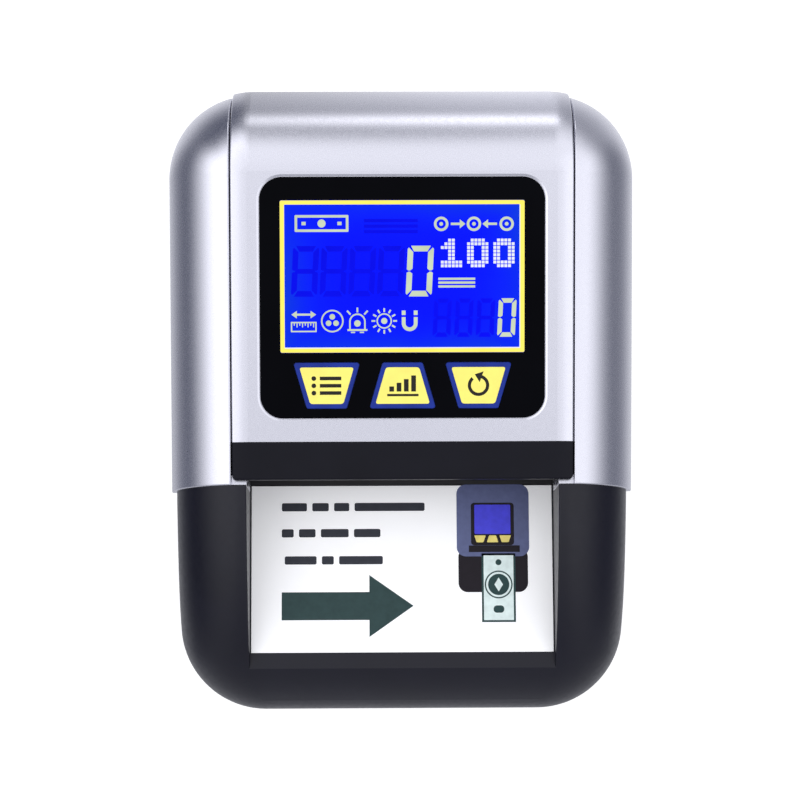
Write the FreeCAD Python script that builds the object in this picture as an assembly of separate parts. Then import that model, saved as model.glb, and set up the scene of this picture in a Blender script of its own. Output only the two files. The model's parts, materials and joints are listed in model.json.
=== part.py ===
"""Counterfeit bill detector: a counter-top note checker with a flip-up centre cover.

Frame: millimetres, +Z up, -Y is the side that faces the user, +X to the user's right.
The origin is on the counter, under the middle of the footprint.
"""

import FreeCAD, Part
import math
import os

from FreeCAD import Placement, Rotation
from FreeCAD import Vector as V

# ---- driving dimensions ------------------------------------------------------------------

WIDTH = 138.6  # over the silver cheeks
FRONT_Y = -91.4  # nose of the base
CHEEK_REAR_Y = 90.4
COVER_REAR_Y = 91.4  # the cover stands a little proud of the cheeks at the back
FRONT_CORNER_R = 27.4
REAR_CORNER_R = 25.0
EDGE_R = 24.2  # soft rounding between the sides and the top

FACE_SLOPE = math.radians(12.0)  # display face, falling towards the user
FACE_Y, FACE_Z = -15.27, 59.73  # a point on the display face
NOSE_Y = -26.0  # in front of this line the top curves down in an ellipse
NOSE_CENTRE_Y = 14.0
NOSE_HALF_LENGTH = 107.5

BASE_STEP = 1.5  # the black base is this much narrower than the cheeks on each side
BASE_SINK = 1.0  # and its arms are this much lower
BASE_REAR_Y = CHEEK_REAR_Y - BASE_STEP
WALL = 2.2
BASE_WALL = 2.4
FLOOR_Z = 3.0  # underside of the base, on 3 mm feet
PARTING_Z = 34.0  # base below, cheeks above
CHEEK_FRONT_Y = -27.0
JAMB_T, JAMB_TOP = 3.0, 54.4  # returns that narrow the mouth beside the chin
CHEEK_POST_R = 3.4

TRAY_HALF = 45.8  # half the width that a note has
PATH_Z = 31.0  # surface that a note slides on
PATH_GAP = 2.2  # height of the note path
DECK_T = 2.5  # thickness of the lower guide plate
DECK_HALF = 49.0
DECK_FRONT_Y = -24.5
RAIL_END_Y = 76.0
RAMP_Y, RAMP_LONG, RAMP_DROP = 80.0, 10.0, 1.8  # fall of the deck at the note exit
DECK_HEAD_R, HEAD_DEPTH = 2.4, 1.2  # counterbores of the flush screws
LABEL_END_Y = -75.0
LABEL_T = 0.25
LABEL_GAP = 0.4

SEAM = 0.3
SEAM_R = 0.5  # rounding of the silver edges along the seams
COVER_HALF = 49.85
CHIN_SEAM_Y = -14.75
CHIN_FRONT_Y = -25.6
CHIN_CORNER_R = 1.3
UPPER_Z = PATH_Z + PATH_GAP  # underside of the upper guide plate
UPPER_T = 2.0
UPPER_HALF = 47.4
UPPER_END_Y = 78.5
BEARING_X0, BEARING_X1, BEARING_TOP = 35.4, 38.6, 41.5  # posts that hold the upper axles
COVER_HEAD_R = 2.5
RAMP_END_Y = -9.0  # where the entry funnel meets the upper guide plate

HINGE_Y, HINGE_Z, PIN_R = 83.0, 38.0, 2.0
SKIRT_Z = 39.0  # lower edge of the cover's rear wall
RUN = 0.05  # radial running clearance
HINGE_BOSS_R, HINGE_BOSS_L, PIN_SOCKET = 4.6, 6.5, 5.9
LUG_R, LUG_T, LUG_GAP = 4.4, 3.85, 0.15
COVER_POST_R = 3.0
SCREW_TOP = 46.0  # depth of the blind screw holes above the counter

PANEL_W, PANEL_L, PANEL_R = 83.0, 70.2, 6.6
PANEL_S = 42.4  # middle of the panel, measured up the face from its reference point
PANEL_T = 0.8
PANEL_SINK = 0.2
RIM_WIDTH, RIM_DEPTH = 0.55, 0.25  # shallow bevel round the panel's recess
LCD_W, LCD_L, LCD_S = 71.0, 44.2, 48.6
KEY_X = 22.1
KEY_S = 16.9
KEY_WIDE, KEY_NARROW, KEY_LONG = 19.4, 11.6, 13.4
KEY_GAP = 0.15

FRONT_SHAFT_Y, REAR_SHAFT_Y, SHAFT_Z = 4.0, 64.0, 23.4
SHAFT_R = 2.0
ROLLER_R, ROLLER_X, ROLLER_W = 8.0, 26.0, 13.0
ROLLER_WINDOW = 14.8  # opening in the deck, along Y
BUSH_R, BUSH_FLANGE_R, BUSH_FLANGE_T = 3.2, 4.2, 0.9
PINCH_R, PINCH_AXLE_R = 5.0, 1.5
PINCH_Z = SHAFT_Z + ROLLER_R + 0.2 + PINCH_R

MODULE = 0.6
PRESSURE_ANGLE = math.radians(20.0)
ADDENDUM, DEDENDUM, BACKLASH = 0.85, 1.2, 0.16
PINION_TEETH, IDLER_BIG_TEETH, IDLER_SMALL_TEETH, DRIVE_TEETH = 12, 30, 14, 30
GEAR_Z = 15.5
IDLER_REACH = MODULE * (IDLER_SMALL_TEETH + DRIVE_TEETH) / 2
IDLER_Y = FRONT_SHAFT_Y + math.sqrt(IDLER_REACH**2 - (SHAFT_Z - GEAR_Z) ** 2)
MOTOR_Y = IDLER_Y + MODULE * (PINION_TEETH + IDLER_BIG_TEETH) / 2
MOTOR_R = 10.0
MOTOR_SHAFT_R = 1.0
MOTOR_BACK_X = -12.0
PINION_X = (-50.0, -45.2)
IDLER_XS = (-55.0, -49.3, -45.7, -44.4)  # small gear, big gear, hub, from the outside in
DRIVE_GEAR_X = (-54.5, -50.7)
IDLER_PIN_X, IDLER_HEAD_R = (-57.0, -55.4), 2.6
IDLER_PIN_R = 1.5

SIDE_X, SIDE_T = 42.0, 2.0  # inner face and thickness of the roller side plates
SIDE_Y0, SIDE_Y1, SIDE_Z0, SIDE_LEG_Y = -12.0, 71.0, 12.0, 31.0
PAD_LONG, PAD_H = 7.0, 6.0
PULLEY_R, BELT_T, BELT_LIFT = 3.5, 1.0, 0.12
PULLEY_X0, PULLEY_X1, PULLEY_RIM = 46.3, 50.7, 0.8
DISK_R, DISK_X0, DISK_X1, DISK_SLOTS = 8.5, 53.4, 54.2, 18
SLOT_R0, SLOT_R1, SLOT_W = 5.4, 7.6, 1.0
SENSOR_Y0, SENSOR_Y1 = 44.0, 50.0
SENSOR_HALF, WINDOW_SEAT = 40.0, 1.5
LOWER_SENSOR_Z, UPPER_SENSOR_Z = 24.6, 37.6
SENSORS, SENSOR_PITCH, EYE_R = 8, 10.0, 1.5
HEAD_X, HEAD_Y, HEAD_Z = 10.8, 3.8, 25.9  # half sizes and underside of the magnetic head
EAR_T = 1.5
BOARD_T = 1.6
MAIN_BOARD_Z = 7.5
JACK_X, JACK_Z, JACK_BORE_R, JACK_PIN_R = 36.0, 14.6, 2.9, 1.0
USB_X = 16.0
ROCKER_X, ROCKER_Y, ROCKER_Z = -31.5, BASE_REAR_Y - 2.8, 17.5
ROCKER_TILT = 8.0
TRUNNION_R = 1.2

BASE_FOOT_R = 2.0  # rounding of the base's lower edge
ARM_R = 0.6  # rounding of the tray arms, along the tray
SKIN_W, SKIN_T = 2.4, 2.4  # walls of the arms and floor of the tray
NOTCH_GAP = 0.4  # beside the cover where the base wall is cut down at the back
HOUSING_POST_R, HOUSING_HEAD_R, HOUSING_HEAD_Z = 3.8, 3.0, 14.0
BOARD_POST_R, BOARD_HOLE_R = 2.6, 1.2
DECK_POST_R, DECK_SCREW_DEPTH = 3.0, 16.0
FOOT_R, FOOT_SINK, FOOT_EDGE_R = 6.0, 0.8, 0.8
BAY_X0, BAY_X1, BAY_TOP = 36.3, 38.7, 20.0  # walls beside the cells
BAY_Y0, BAY_Y1 = -72.0, -26.0
BAY_FLOOR_X, BAY_FLOOR_Y0, BAY_FLOOR_Y1 = 35.0, -70.0, -28.0
BAY_REBATE, BAY_REBATE_H = 1.0, 1.3
BAY_RIB_T = 1.6
LUG_X, LUG_Y0, LUG_H = 4.5, -31.5, 7.0
CELL_R, CELL_HALF, CELL_Y = 9.2, 33.0, -49.0
VENTS, VENT_PITCH, VENT_W, VENT_Y0, VENT_Y1 = 7, 6.0, 2.0, -2.0, 24.0
REAR_CUT_Y0, REAR_CUT_Y1 = BASE_REAR_Y - 7.4, BASE_REAR_Y + 4.6  # reach of the cuts in the rear wall
PORT_BACK_Y, PORT_FACE_Y = BASE_REAR_Y - 8.9, BASE_REAR_Y - 0.2  # ends of the two sockets' contacts
BOARD_REAR_Y = BASE_REAR_Y - 6.4
ROCKER_HOLE_X, ROCKER_HOLE_Z = 9.6, 6.4
JACK_NOSE_R = 4.0
USB_HOLE_X, USB_HOLE_Z0, USB_HOLE_Z1 = 4.8, 8.4, 13.8

# Screw and foot positions, (x, y); each has a mirrored twin at -x.
HOUSING_POSTS = [(58.0, -14.0), (58.0, 50.0)]
COVER_POSTS = [(43.5, 14.0), (43.5, 72.0)]
PLATE_SCREWS = [(43.0, -8.0), (43.0, 39.0)]
DECK_POSTS = [(30.0, -17.0)]
BOARD_POSTS = [(47.0, 43.0), (47.0, 76.0)]
FOOT_POINTS = [(50.0, -62.0), (50.0, 72.0)]
DOOR_SCREW_Y = -29.0
DOOR_HOLE_R, DOOR_HEAD_R = 1.2, 2.6
DOOR_T = 1.2
DOOR_RIDGES, DOOR_RIDGE_PITCH = 5, 2.0
SCREW_R = 1.4

FAR = 200.0  # larger than the machine, for half-space cuts


# ---- small shape helpers -----------------------------------------------------------------


def box(x0, x1, y0, y1, z0, z1):
    return Part.makeBox(x1 - x0, y1 - y0, z1 - z0, V(x0, y0, z0))


def rod_x(r, x0, x1, y, z):
    return Part.makeCylinder(r, x1 - x0, V(x0, y, z), V(1, 0, 0))


def rod_y(r, y0, y1, x, z):
    return Part.makeCylinder(r, y1 - y0, V(x, y0, z), V(0, 1, 0))


def rod_z(r, z0, z1, x, y):
    return Part.makeCylinder(r, z1 - z0, V(x, y, z0), V(0, 0, 1))


def fused(shapes):
    whole = shapes[0].multiFuse(shapes[1:]) if len(shapes) > 1 else shapes[0]
    return whole.removeSplitter()


def mirrored(shape):
    """The same shape on the other side of the machine."""
    return shape.mirror(V(0, 0, 0), V(1, 0, 0))


def both_sides(shape):
    return [shape, mirrored(shape)]


def mirrored_points(points):
    return [(side * x, y) for x, y in points for side in (1, -1)]


def prism_x(points, x0, x1):
    """A closed outline of (y, z) points, drawn out along X."""
    corners = [V(x0, y, z) for y, z in points]
    wire = Part.makePolygon(corners + corners[:1])
    return Part.Face(wire).extrude(V(x1 - x0, 0, 0))


def rounded_plate(width, length, radius, z0, z1, y=0.0):
    """A flat plate centred on (0, y) with round corners."""
    plate = box(-width / 2, width / 2, y - length / 2, y + length / 2, z0, z1)
    upright = [e for e in plate.Edges if e.BoundBox.ZLength > (z1 - z0) * 0.9]
    return plate.makeFillet(radius, upright)


def on_face(shape):
    """Moves a shape drawn flat, with Y up the slope and Z outwards, onto the display face."""
    moved = shape.copy()
    turn = Rotation(V(1, 0, 0), math.degrees(FACE_SLOPE))
    moved.Placement = Placement(V(0, FACE_Y, FACE_Z), turn).multiply(moved.Placement)
    return moved


def softened(shape, radius, chosen):
    """Rounds the edges that the test picks, or leaves the shape alone if that can't be done."""
    edges = [e for e in shape.Edges if chosen(e)]
    for r in (radius, radius * 0.7, radius * 0.4):
        try:
            rounded = shape.makeFillet(r, edges)
        except Exception:
            continue
        if rounded.isValid() and len(rounded.Solids) == len(shape.Solids):
            return rounded
    print("edges left sharp:", len(edges))
    return shape


def screw(x, y, z_head, z_tip, shaft_r, head_r, head_h):
    """A cross-head screw along Z. The head lies at z_head and the shaft points to z_tip."""
    up = 1.0 if z_tip > z_head else -1.0
    head = rod_z(head_r, min(z_head, z_head + up * head_h), max(z_head, z_head + up * head_h), x, y)
    shaft = rod_z(shaft_r, min(z_head, z_tip), max(z_head, z_tip), x, y)
    deep = min(z_head, z_head + up * head_h * 0.5)
    slots = [
        box(x - a, x + a, y - b, y + b, deep, deep + head_h * 0.5)
        for a, b in ((head_r * 0.6, head_r * 0.14), (head_r * 0.14, head_r * 0.6))
    ]
    return head.fuse(shaft).cut(slots[0]).cut(slots[1])


# ---- the outer form ----------------------------------------------------------------------


def face_height(y):
    return FACE_Z + (y - FACE_Y) * math.tan(FACE_SLOPE)


def plan(inset, front, back, z0, z1):
    """The footprint: a rectangle with round corners, drawn up from z0 to z1."""
    x = WIDTH / 2 - inset
    rf, rr = FRONT_CORNER_R - inset, REAR_CORNER_R - inset
    corners = [
        (x - rr, back - rr, rr, 0),
        (-x + rr, back - rr, rr, 90),
        (-x + rf, front + rf, rf, 180),
        (x - rf, front + rf, rf, 270),
    ]
    arcs = []
    for cx, cy, r, start in corners:
        turns = [math.radians(start + d) for d in (0, 45, 90)]
        arcs.append(Part.Arc(*[V(cx + r * math.cos(a), cy + r * math.sin(a), z0) for a in turns]).toShape())
    edges = list(arcs)
    for here, following in zip(arcs, arcs[1:] + arcs[:1]):
        edges.append(Part.LineSegment(here.Vertexes[-1].Point, following.Vertexes[0].Point).toShape())
    return Part.Face(Part.Wire(Part.__sortEdges__(edges))).extrude(V(0, 0, z1 - z0))


def side_profile(sink):
    """The side view: the sloping face, running into an elliptical nose, drawn across the width."""
    sine, cosine = math.sin(FACE_SLOPE), math.cos(FACE_SLOPE)
    y_t = NOSE_Y + sink * sine
    z_t = face_height(NOSE_Y) - sink * cosine
    long_r = NOSE_HALF_LENGTH - sink
    u = (NOSE_CENTRE_Y - y_t) / long_r
    q = math.sqrt(1 - u * u)
    tall_r = math.tan(FACE_SLOPE) * long_r * q / u
    centre = V(-FAR / 2, NOSE_CENTRE_Y, z_t - tall_r * q)
    oval = Part.Ellipse(centre + V(0, -long_r, 0), centre + V(0, 0, tall_r), centre)
    arc = Part.ArcOfEllipse(oval, 0, math.acos(u)).toShape()
    tip, start = arc.Vertexes[0].Point, arc.Vertexes[-1].Point
    back_y = 100.0
    rise = (back_y - y_t) * math.tan(FACE_SLOPE)
    path = [start, V(start.x, back_y, z_t + rise), V(start.x, back_y, -5), V(start.x, tip.y, -5), tip]
    lines = [Part.LineSegment(a, b).toShape() for a, b in zip(path, path[1:])]
    return Part.Face(Part.Wire(Part.__sortEdges__([arc] + lines))).extrude(V(FAR, 0, 0)), y_t


def form(inset, sink, front, back, z0=0.0):
    """The whole outside shape, its sides moved in by inset and its top down by sink."""
    profile, y_t = side_profile(sink)
    body = plan(inset, front, back, z0, 100.0).common(profile)

    def on_top(edge):
        b = edge.BoundBox
        upright = b.XLength < 0.01 and b.YLength < 0.01
        crease = b.YLength < 0.01 and b.ZLength < 0.01 and abs(b.YMin - y_t) < 0.05
        return b.ZMin > z0 + 5 and not upright and not crease

    return body.makeFillet(EDGE_R - inset, [e for e in body.Edges if on_top(e)])


def silver_form(inset, back, z0=0.0):
    return form(inset, inset, FRONT_Y + inset, back - inset, z0)


def black_form(inset, z0):
    return form(BASE_STEP + inset, BASE_SINK + inset, FRONT_Y + inset, BASE_REAR_Y - inset, z0)


FORM_SILVER = silver_form(0.0, CHEEK_REAR_Y)
FORM_COVER = silver_form(0.0, COVER_REAR_Y)
FORM_BLACK = black_form(0.0, FLOOR_Z)


# ---- base, cheeks and deck ---------------------------------------------------------------


def base_shell():
    """Black lower housing with the note tray, its two arms and the round nose."""
    shell = softened(FORM_BLACK, BASE_FOOT_R, lambda e: e.BoundBox.ZMax < FLOOR_Z + 0.1)
    shell = shell.cut(box(-FAR, FAR, CHEEK_FRONT_Y, FAR, PARTING_Z, FAR))
    shell = shell.cut(box(-TRAY_HALF, TRAY_HALF, -FAR, CHEEK_FRONT_Y + 5, PATH_Z, FAR))

    def along_arm(e):
        b = e.BoundBox
        return abs(abs(b.XMin) - TRAY_HALF) < 0.01 and b.XLength < 0.01 and b.YLength > 20 and b.ZMax > 45

    shell = softened(shell, ARM_R, along_arm)
    inside = black_form(BASE_WALL, FLOOR_Z + BASE_WALL)
    skin_half = TRAY_HALF + SKIN_W
    skin = box(-skin_half, skin_half, -FAR, DECK_FRONT_Y - 0.1, PATH_Z - SKIN_T, FAR)
    shell = shell.cut(inside.cut(skin))
    notch_half = COVER_HALF + NOTCH_GAP
    shell = shell.cut(box(-notch_half, notch_half, REAR_CUT_Y0, FAR, PATH_Z - DECK_T, PARTING_Z + 1))
    inside_z = FLOOR_Z + 1
    posts = []
    for x, y in HOUSING_POSTS:
        posts += both_sides(rod_z(HOUSING_POST_R, inside_z, PARTING_Z, x, y))
    for x, y in BOARD_POSTS:
        boss = rod_z(BOARD_POST_R, inside_z, MAIN_BOARD_Z, x, y)
        posts += both_sides(boss.cut(rod_z(BOARD_HOLE_R, inside_z + 1, FAR, x, y)))
    for x, y in DECK_POSTS:
        posts += both_sides(rod_z(DECK_POST_R, inside_z, PATH_Z - DECK_T, x, y))
    posts += both_sides(box(BAY_X0, BAY_X1, BAY_Y0, BAY_Y1, inside_z, BAY_TOP))
    shell = fused([shell] + posts)
    for x, y in mirrored_points(HOUSING_POSTS):
        shell = shell.cut(rod_z(HOUSING_HEAD_R, 0, HOUSING_HEAD_Z, x, y))
        shell = shell.cut(rod_z(SCREW_R + 0.2, 0, FAR, x, y))
    for x, y in mirrored_points(DECK_POSTS):
        shell = shell.cut(rod_z(SCREW_R, DECK_SCREW_DEPTH, PATH_Z, x, y))
    for x, y in mirrored_points(FOOT_POINTS):
        shell = shell.cut(rod_z(FOOT_R + 0.1, 0, FLOOR_Z + FOOT_SINK, x, y))
    shell = with_battery_bay(shell)
    for i in range(VENTS):
        x = (i - (VENTS - 1) / 2) * VENT_PITCH
        shell = shell.cut(box(x - VENT_W / 2, x + VENT_W / 2, VENT_Y0, VENT_Y1, 0, MAIN_BOARD_Z))
    return with_rear_openings(shell)


def with_rear_openings(shell):
    """Cuts the power switch, socket and update port through the rear wall."""
    y0, y1, half = REAR_CUT_Y0, REAR_CUT_Y1, ROCKER_HOLE_X
    z0, z1 = ROCKER_Z - ROCKER_HOLE_Z, ROCKER_Z + ROCKER_HOLE_Z
    shell = shell.cut(box(ROCKER_X - half, ROCKER_X + half, y0, y1, z0, z1))
    shell = shell.cut(rod_y(JACK_NOSE_R + 0.1, y0, y1, JACK_X, JACK_Z))
    return shell.cut(box(USB_X - USB_HOLE_X, USB_X + USB_HOLE_X, y0, y1, USB_HOLE_Z0, USB_HOLE_Z1))


def with_battery_bay(shell):
    """Opens the floor under the cells, with a rebate for the door and a lug for its screw."""
    x, y0, y1, ledge = BAY_FLOOR_X, BAY_FLOOR_Y0, BAY_FLOOR_Y1, FLOOR_Z + BAY_REBATE_H
    wide, long = BAY_REBATE, BAY_REBATE + 0.5
    shell = shell.cut(box(-x, x, y0, y1, 0, MAIN_BOARD_Z))
    shell = shell.cut(box(-x - wide, x + wide, y0 - long, y1 + long, 0, ledge))
    rib_y0, rib_y1 = y1 + long + 0.1, y1 + long + 0.1 + BAY_RIB_T
    rib = box(-BAY_X0 - 0.1, BAY_X0 + 0.1, rib_y0, rib_y1, ledge, BAY_TOP)
    lug = box(-LUG_X, LUG_X, LUG_Y0, rib_y1, ledge, FLOOR_Z + LUG_H)
    return fused([shell, rib, lug]).cut(rod_z(DOOR_HOLE_R, 0, FLOOR_Z + LUG_H - 1, 0, DOOR_SCREW_Y))


def cheek():
    """Right silver cheek: a hollow side cover with a jamb that narrows the mouth."""
    inner_x = COVER_HALF + SEAM
    outer = FORM_SILVER.common(box(inner_x, FAR, CHEEK_FRONT_Y, FAR, PARTING_Z, FAR))

    def seam_edge(e):
        b = e.BoundBox
        at_seam = b.XLength < 0.01 and abs(b.XMin - inner_x) < 0.01 and b.ZMax > 50 and b.YLength > 1
        at_front = b.YLength < 0.01 and abs(b.YMin - CHEEK_FRONT_Y) < 0.01 and b.ZMax > PARTING_Z + 5
        at_front = at_front and b.XMax > inner_x + 0.1
        return at_seam or at_front

    outer = softened(outer, SEAM_R, seam_edge)
    hollow = silver_form(WALL, CHEEK_REAR_Y, 10.0)
    hollow = hollow.common(box(inner_x + WALL, FAR, CHEEK_FRONT_Y + WALL, FAR, 0, FAR))
    jamb = box(TRAY_HALF, inner_x + 1, CHEEK_FRONT_Y, CHEEK_FRONT_Y + JAMB_T, PARTING_Z, JAMB_TOP)
    jamb = softened(jamb, 0.4, lambda e: abs(e.BoundBox.YMax - CHEEK_FRONT_Y) < 0.01)
    boss = rod_x(HINGE_BOSS_R, inner_x + 1, inner_x + HINGE_BOSS_L, HINGE_Y, HINGE_Z)
    core = silver_form(1.0, CHEEK_REAR_Y).common(box(-FAR, FAR, -FAR, FAR, PARTING_Z, FAR))
    boss = boss.common(core)
    posts = [rod_z(CHEEK_POST_R, PARTING_Z, FAR, x, y).common(core) for x, y in HOUSING_POSTS]
    shell = fused([outer.cut(hollow), jamb, boss] + posts)
    shell = shell.cut(rod_x(PIN_R, 40, inner_x + PIN_SOCKET, HINGE_Y, HINGE_Z))
    for x, y in HOUSING_POSTS:
        shell = shell.cut(rod_z(SCREW_R, 20, SCREW_TOP, x, y))
    return shell


def window(x0, x1, y0, y1):
    return box(x0, x1, y0, y1, 20, 45)


def lower_guide_plate():
    """The deck that notes slide on, with side rails and openings for rollers and sensors."""
    deck = box(-DECK_HALF, DECK_HALF, DECK_FRONT_Y, BASE_REAR_Y, PATH_Z - DECK_T, PATH_Z)
    rails = both_sides(box(TRAY_HALF, DECK_HALF, DECK_FRONT_Y, RAIL_END_Y, PATH_Z - 1, UPPER_Z - SEAM))
    deck = fused([deck] + rails)
    half = ROLLER_WINDOW / 2
    for y in (FRONT_SHAFT_Y, REAR_SHAFT_Y):
        for x in (ROLLER_X, -ROLLER_X):
            deck = deck.cut(window(x - ROLLER_W / 2 - 0.8, x + ROLLER_W / 2 + 0.8, y - half, y + half))
    x, half = HEAD_X + 0.4, HEAD_Y + 0.4
    deck = deck.cut(window(-x, x, FRONT_SHAFT_Y - half, FRONT_SHAFT_Y + half))
    half, seat = SENSOR_HALF, PATH_Z - WINDOW_SEAT
    deck = deck.cut(window(-half, half, SENSOR_Y0, SENSOR_Y1))
    deck = deck.cut(box(-half - 1, half + 1, SENSOR_Y0 - 1, SENSOR_Y1 + 1, seat, FAR))
    for x, y in mirrored_points(PLATE_SCREWS + DECK_POSTS):
        hole, head = rod_z(SCREW_R + 0.1, 20, 45, x, y), rod_z(DECK_HEAD_R, PATH_Z - HEAD_DEPTH, 45, x, y)
        deck = deck.cut(hole).cut(head)
    end_y = RAMP_Y + RAMP_LONG
    ramp = prism_x([(RAMP_Y, PATH_Z + 0.01), (end_y, PATH_Z + 0.01), (end_y, PATH_Z - RAMP_DROP)], -FAR, FAR)
    return deck.cut(ramp).common(plan(BASE_STEP, FRONT_Y, BASE_REAR_Y, 0, PARTING_Z))


def side_plate():
    """Right roller side plate, with a foot flange under the deck screws."""
    x1, top = SIDE_X + SIDE_T, PATH_Z - DECK_T
    plate = box(SIDE_X, x1, SIDE_Y0, SIDE_Y1, SIDE_Z0, top)
    plate = plate.fuse(box(SIDE_X, x1, SIDE_Y0, SIDE_LEG_Y, FLOOR_Z + BASE_WALL, SIDE_Z0 + 1))
    pad = PAD_LONG / 2
    pads = [box(SIDE_X - 2.0, x1 + 1.5, y - pad, y + pad, top - PAD_H, top) for _, y in PLATE_SCREWS]
    plate = fused([plate] + pads)
    for y in (FRONT_SHAFT_Y, REAR_SHAFT_Y):
        plate = plate.cut(rod_x(BUSH_R, 30, 60, y, SHAFT_Z))
    for x, y in PLATE_SCREWS:
        plate = plate.cut(rod_z(SCREW_R, 10, 45, x, y))
    return plate


def left_side_plate():
    plate = mirrored(side_plate())
    plate = plate.cut(rod_x(BUSH_R, -60, -30, MOTOR_Y, GEAR_Z))
    return plate.cut(rod_x(IDLER_PIN_R, -60, -30, IDLER_Y, GEAR_Z))


def shaft_bushes():
    bushes = []
    for y in (FRONT_SHAFT_Y, REAR_SHAFT_Y):
        sleeve = rod_x(BUSH_R, SIDE_X, SIDE_X + SIDE_T, y, SHAFT_Z)
        flange = rod_x(BUSH_FLANGE_R, SIDE_X - BUSH_FLANGE_T, SIDE_X, y, SHAFT_Z)
        bush = sleeve.fuse(flange).cut(rod_x(SHAFT_R + RUN, 30, 60, y, SHAFT_Z))
        bushes += both_sides(bush)
    return Part.makeCompound(bushes)


def guide_label():
    half = TRAY_HALF - LABEL_GAP
    return box(-half, half, LABEL_END_Y, DECK_FRONT_Y - 0.3, PATH_Z, PATH_Z + LABEL_T)


def rubber_feet():
    feet = []
    for x, y in FOOT_POINTS:
        foot = rod_z(FOOT_R, 0, FLOOR_Z + FOOT_SINK, x, y)
        foot = foot.makeFillet(FOOT_EDGE_R, [e for e in foot.Edges if e.BoundBox.ZMax < 0.01])
        feet += both_sides(foot)
    return Part.makeCompound(feet)


def housing_screws():
    screws = [screw(x, y, 12.0, 45.0, SCREW_R, 2.7, 2.0) for x, y in mirrored_points(HOUSING_POSTS)]
    screws.append(screw(0, DOOR_SCREW_Y, FLOOR_Z - 0.3, 9.0, 1.2, 2.4, 0.9))
    return Part.makeCompound(screws)


def hinge_pins():
    x1 = COVER_HALF + SEAM + 5.8
    return Part.makeCompound(both_sides(rod_x(PIN_R, 46.0, x1, HINGE_Y, HINGE_Z)))


# ---- battery bay -------------------------------------------------------------------------


def battery_pack():
    """Two round cells side by side in shrink wrap."""
    r, half, y = CELL_R, CELL_HALF, CELL_Y
    z = FLOOR_Z + BASE_WALL + 0.3 + r
    cells = [rod_x(r, -half, half, y + d, z) for d in (-r, r)]
    web = box(-half, half, y - r, y + r, z - r, z + r)
    return fused(cells + [web])


def battery_door():
    gap = 0.2
    wide = 2 * (BAY_FLOOR_X + BAY_REBATE - gap)
    length = BAY_FLOOR_Y1 - BAY_FLOOR_Y0 + 2 * (BAY_REBATE + 0.5 - gap)
    door = rounded_plate(wide, length, 1.0, FLOOR_Z, FLOOR_Z + DOOR_T, CELL_Y)
    half = BAY_FLOOR_X - 0.3
    spigot = box(-half, half, BAY_FLOOR_Y0 + 0.3, LUG_Y0 - 0.5, FLOOR_Z + 1.0, FLOOR_Z + BASE_WALL)
    door = fused([door, spigot])
    for i in range(DOOR_RIDGES):
        y = BAY_FLOOR_Y0 + 5 + DOOR_RIDGE_PITCH * i
        door = door.cut(box(-12, 12, y, y + 0.8, 0, FLOOR_Z + 0.5))
    door = door.cut(rod_z(DOOR_HOLE_R + 0.1, 0, FAR, 0, DOOR_SCREW_Y))
    return door.cut(rod_z(DOOR_HEAD_R, 0, FLOOR_Z + 0.6, 0, DOOR_SCREW_Y))


# ---- drive train -------------------------------------------------------------------------


def gear(teeth, x0, x1, y, z, phase, bore_r):
    """A spur gear about an X axis. phase is the angle of one tooth's middle, from +Y towards +Z."""
    pitch_r = MODULE * teeth / 2
    base_r, tip_r = pitch_r * math.cos(PRESSURE_ANGLE), pitch_r + ADDENDUM * MODULE
    root_r = pitch_r - DEDENDUM * MODULE

    def involute(r):
        a = math.acos(min(1.0, base_r / r))
        return math.tan(a) - a

    half = math.pi / (2 * teeth) - BACKLASH / (2 * pitch_r) + involute(pitch_r)
    steps = 4
    low_r = max(base_r, root_r)
    flank = [low_r + (tip_r - low_r) * i / steps for i in range(steps + 1)]
    rim = [(r, half - involute(r)) for r in flank]
    if root_r < base_r:
        rim.insert(0, (root_r, rim[0][1]))
    points = []
    for k in range(teeth):
        middle = phase + 2 * math.pi * k / teeth
        for r, a in rim:
            points.append((y + r * math.cos(middle - a), z + r * math.sin(middle - a)))
        for r, a in reversed(rim):
            points.append((y + r * math.cos(middle + a), z + r * math.sin(middle + a)))
    return prism_x(points, x0, x1).cut(rod_x(bore_r, x0 - 1, x1 + 1, y, z))


TO_DRIVE = math.atan2(SHAFT_Z - GEAR_Z, FRONT_SHAFT_Y - IDLER_Y)  # from the idler, towards the drive gear
TO_PINION = 0.0  # from the idler, towards the motor pinion


def drive_gear():
    phase = TO_DRIVE + math.pi + math.pi / DRIVE_TEETH
    wheel = gear(DRIVE_TEETH, *DRIVE_GEAR_X, FRONT_SHAFT_Y, SHAFT_Z, phase, SHAFT_R)
    hub = rod_x(4, DRIVE_GEAR_X[1] - 0.3, DRIVE_GEAR_X[1] + 1.0, FRONT_SHAFT_Y, SHAFT_Z)
    return fused([wheel, hub.cut(rod_x(SHAFT_R, -FAR, FAR, FRONT_SHAFT_Y, SHAFT_Z))])


def idler_gear():
    bore = IDLER_PIN_R + RUN
    outer_x, middle_x, inner_x, hub_x = IDLER_XS
    big = gear(IDLER_BIG_TEETH, middle_x, inner_x, IDLER_Y, GEAR_Z, TO_PINION, bore)
    small = gear(IDLER_SMALL_TEETH, outer_x, middle_x, IDLER_Y, GEAR_Z, TO_DRIVE, bore)
    hub = rod_x(3.2, inner_x, hub_x, IDLER_Y, GEAR_Z).cut(rod_x(bore, -FAR, FAR, IDLER_Y, GEAR_Z))
    return fused([big, small, hub])


def motor_pinion():
    phase = TO_PINION + math.pi + math.pi / PINION_TEETH
    return gear(PINION_TEETH, *PINION_X, MOTOR_Y, GEAR_Z, phase, MOTOR_SHAFT_R)


def motor_shaft():
    return rod_x(MOTOR_SHAFT_R, PINION_X[0] - 0.6, MOTOR_BACK_X - 2.0, MOTOR_Y, GEAR_Z)


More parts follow.
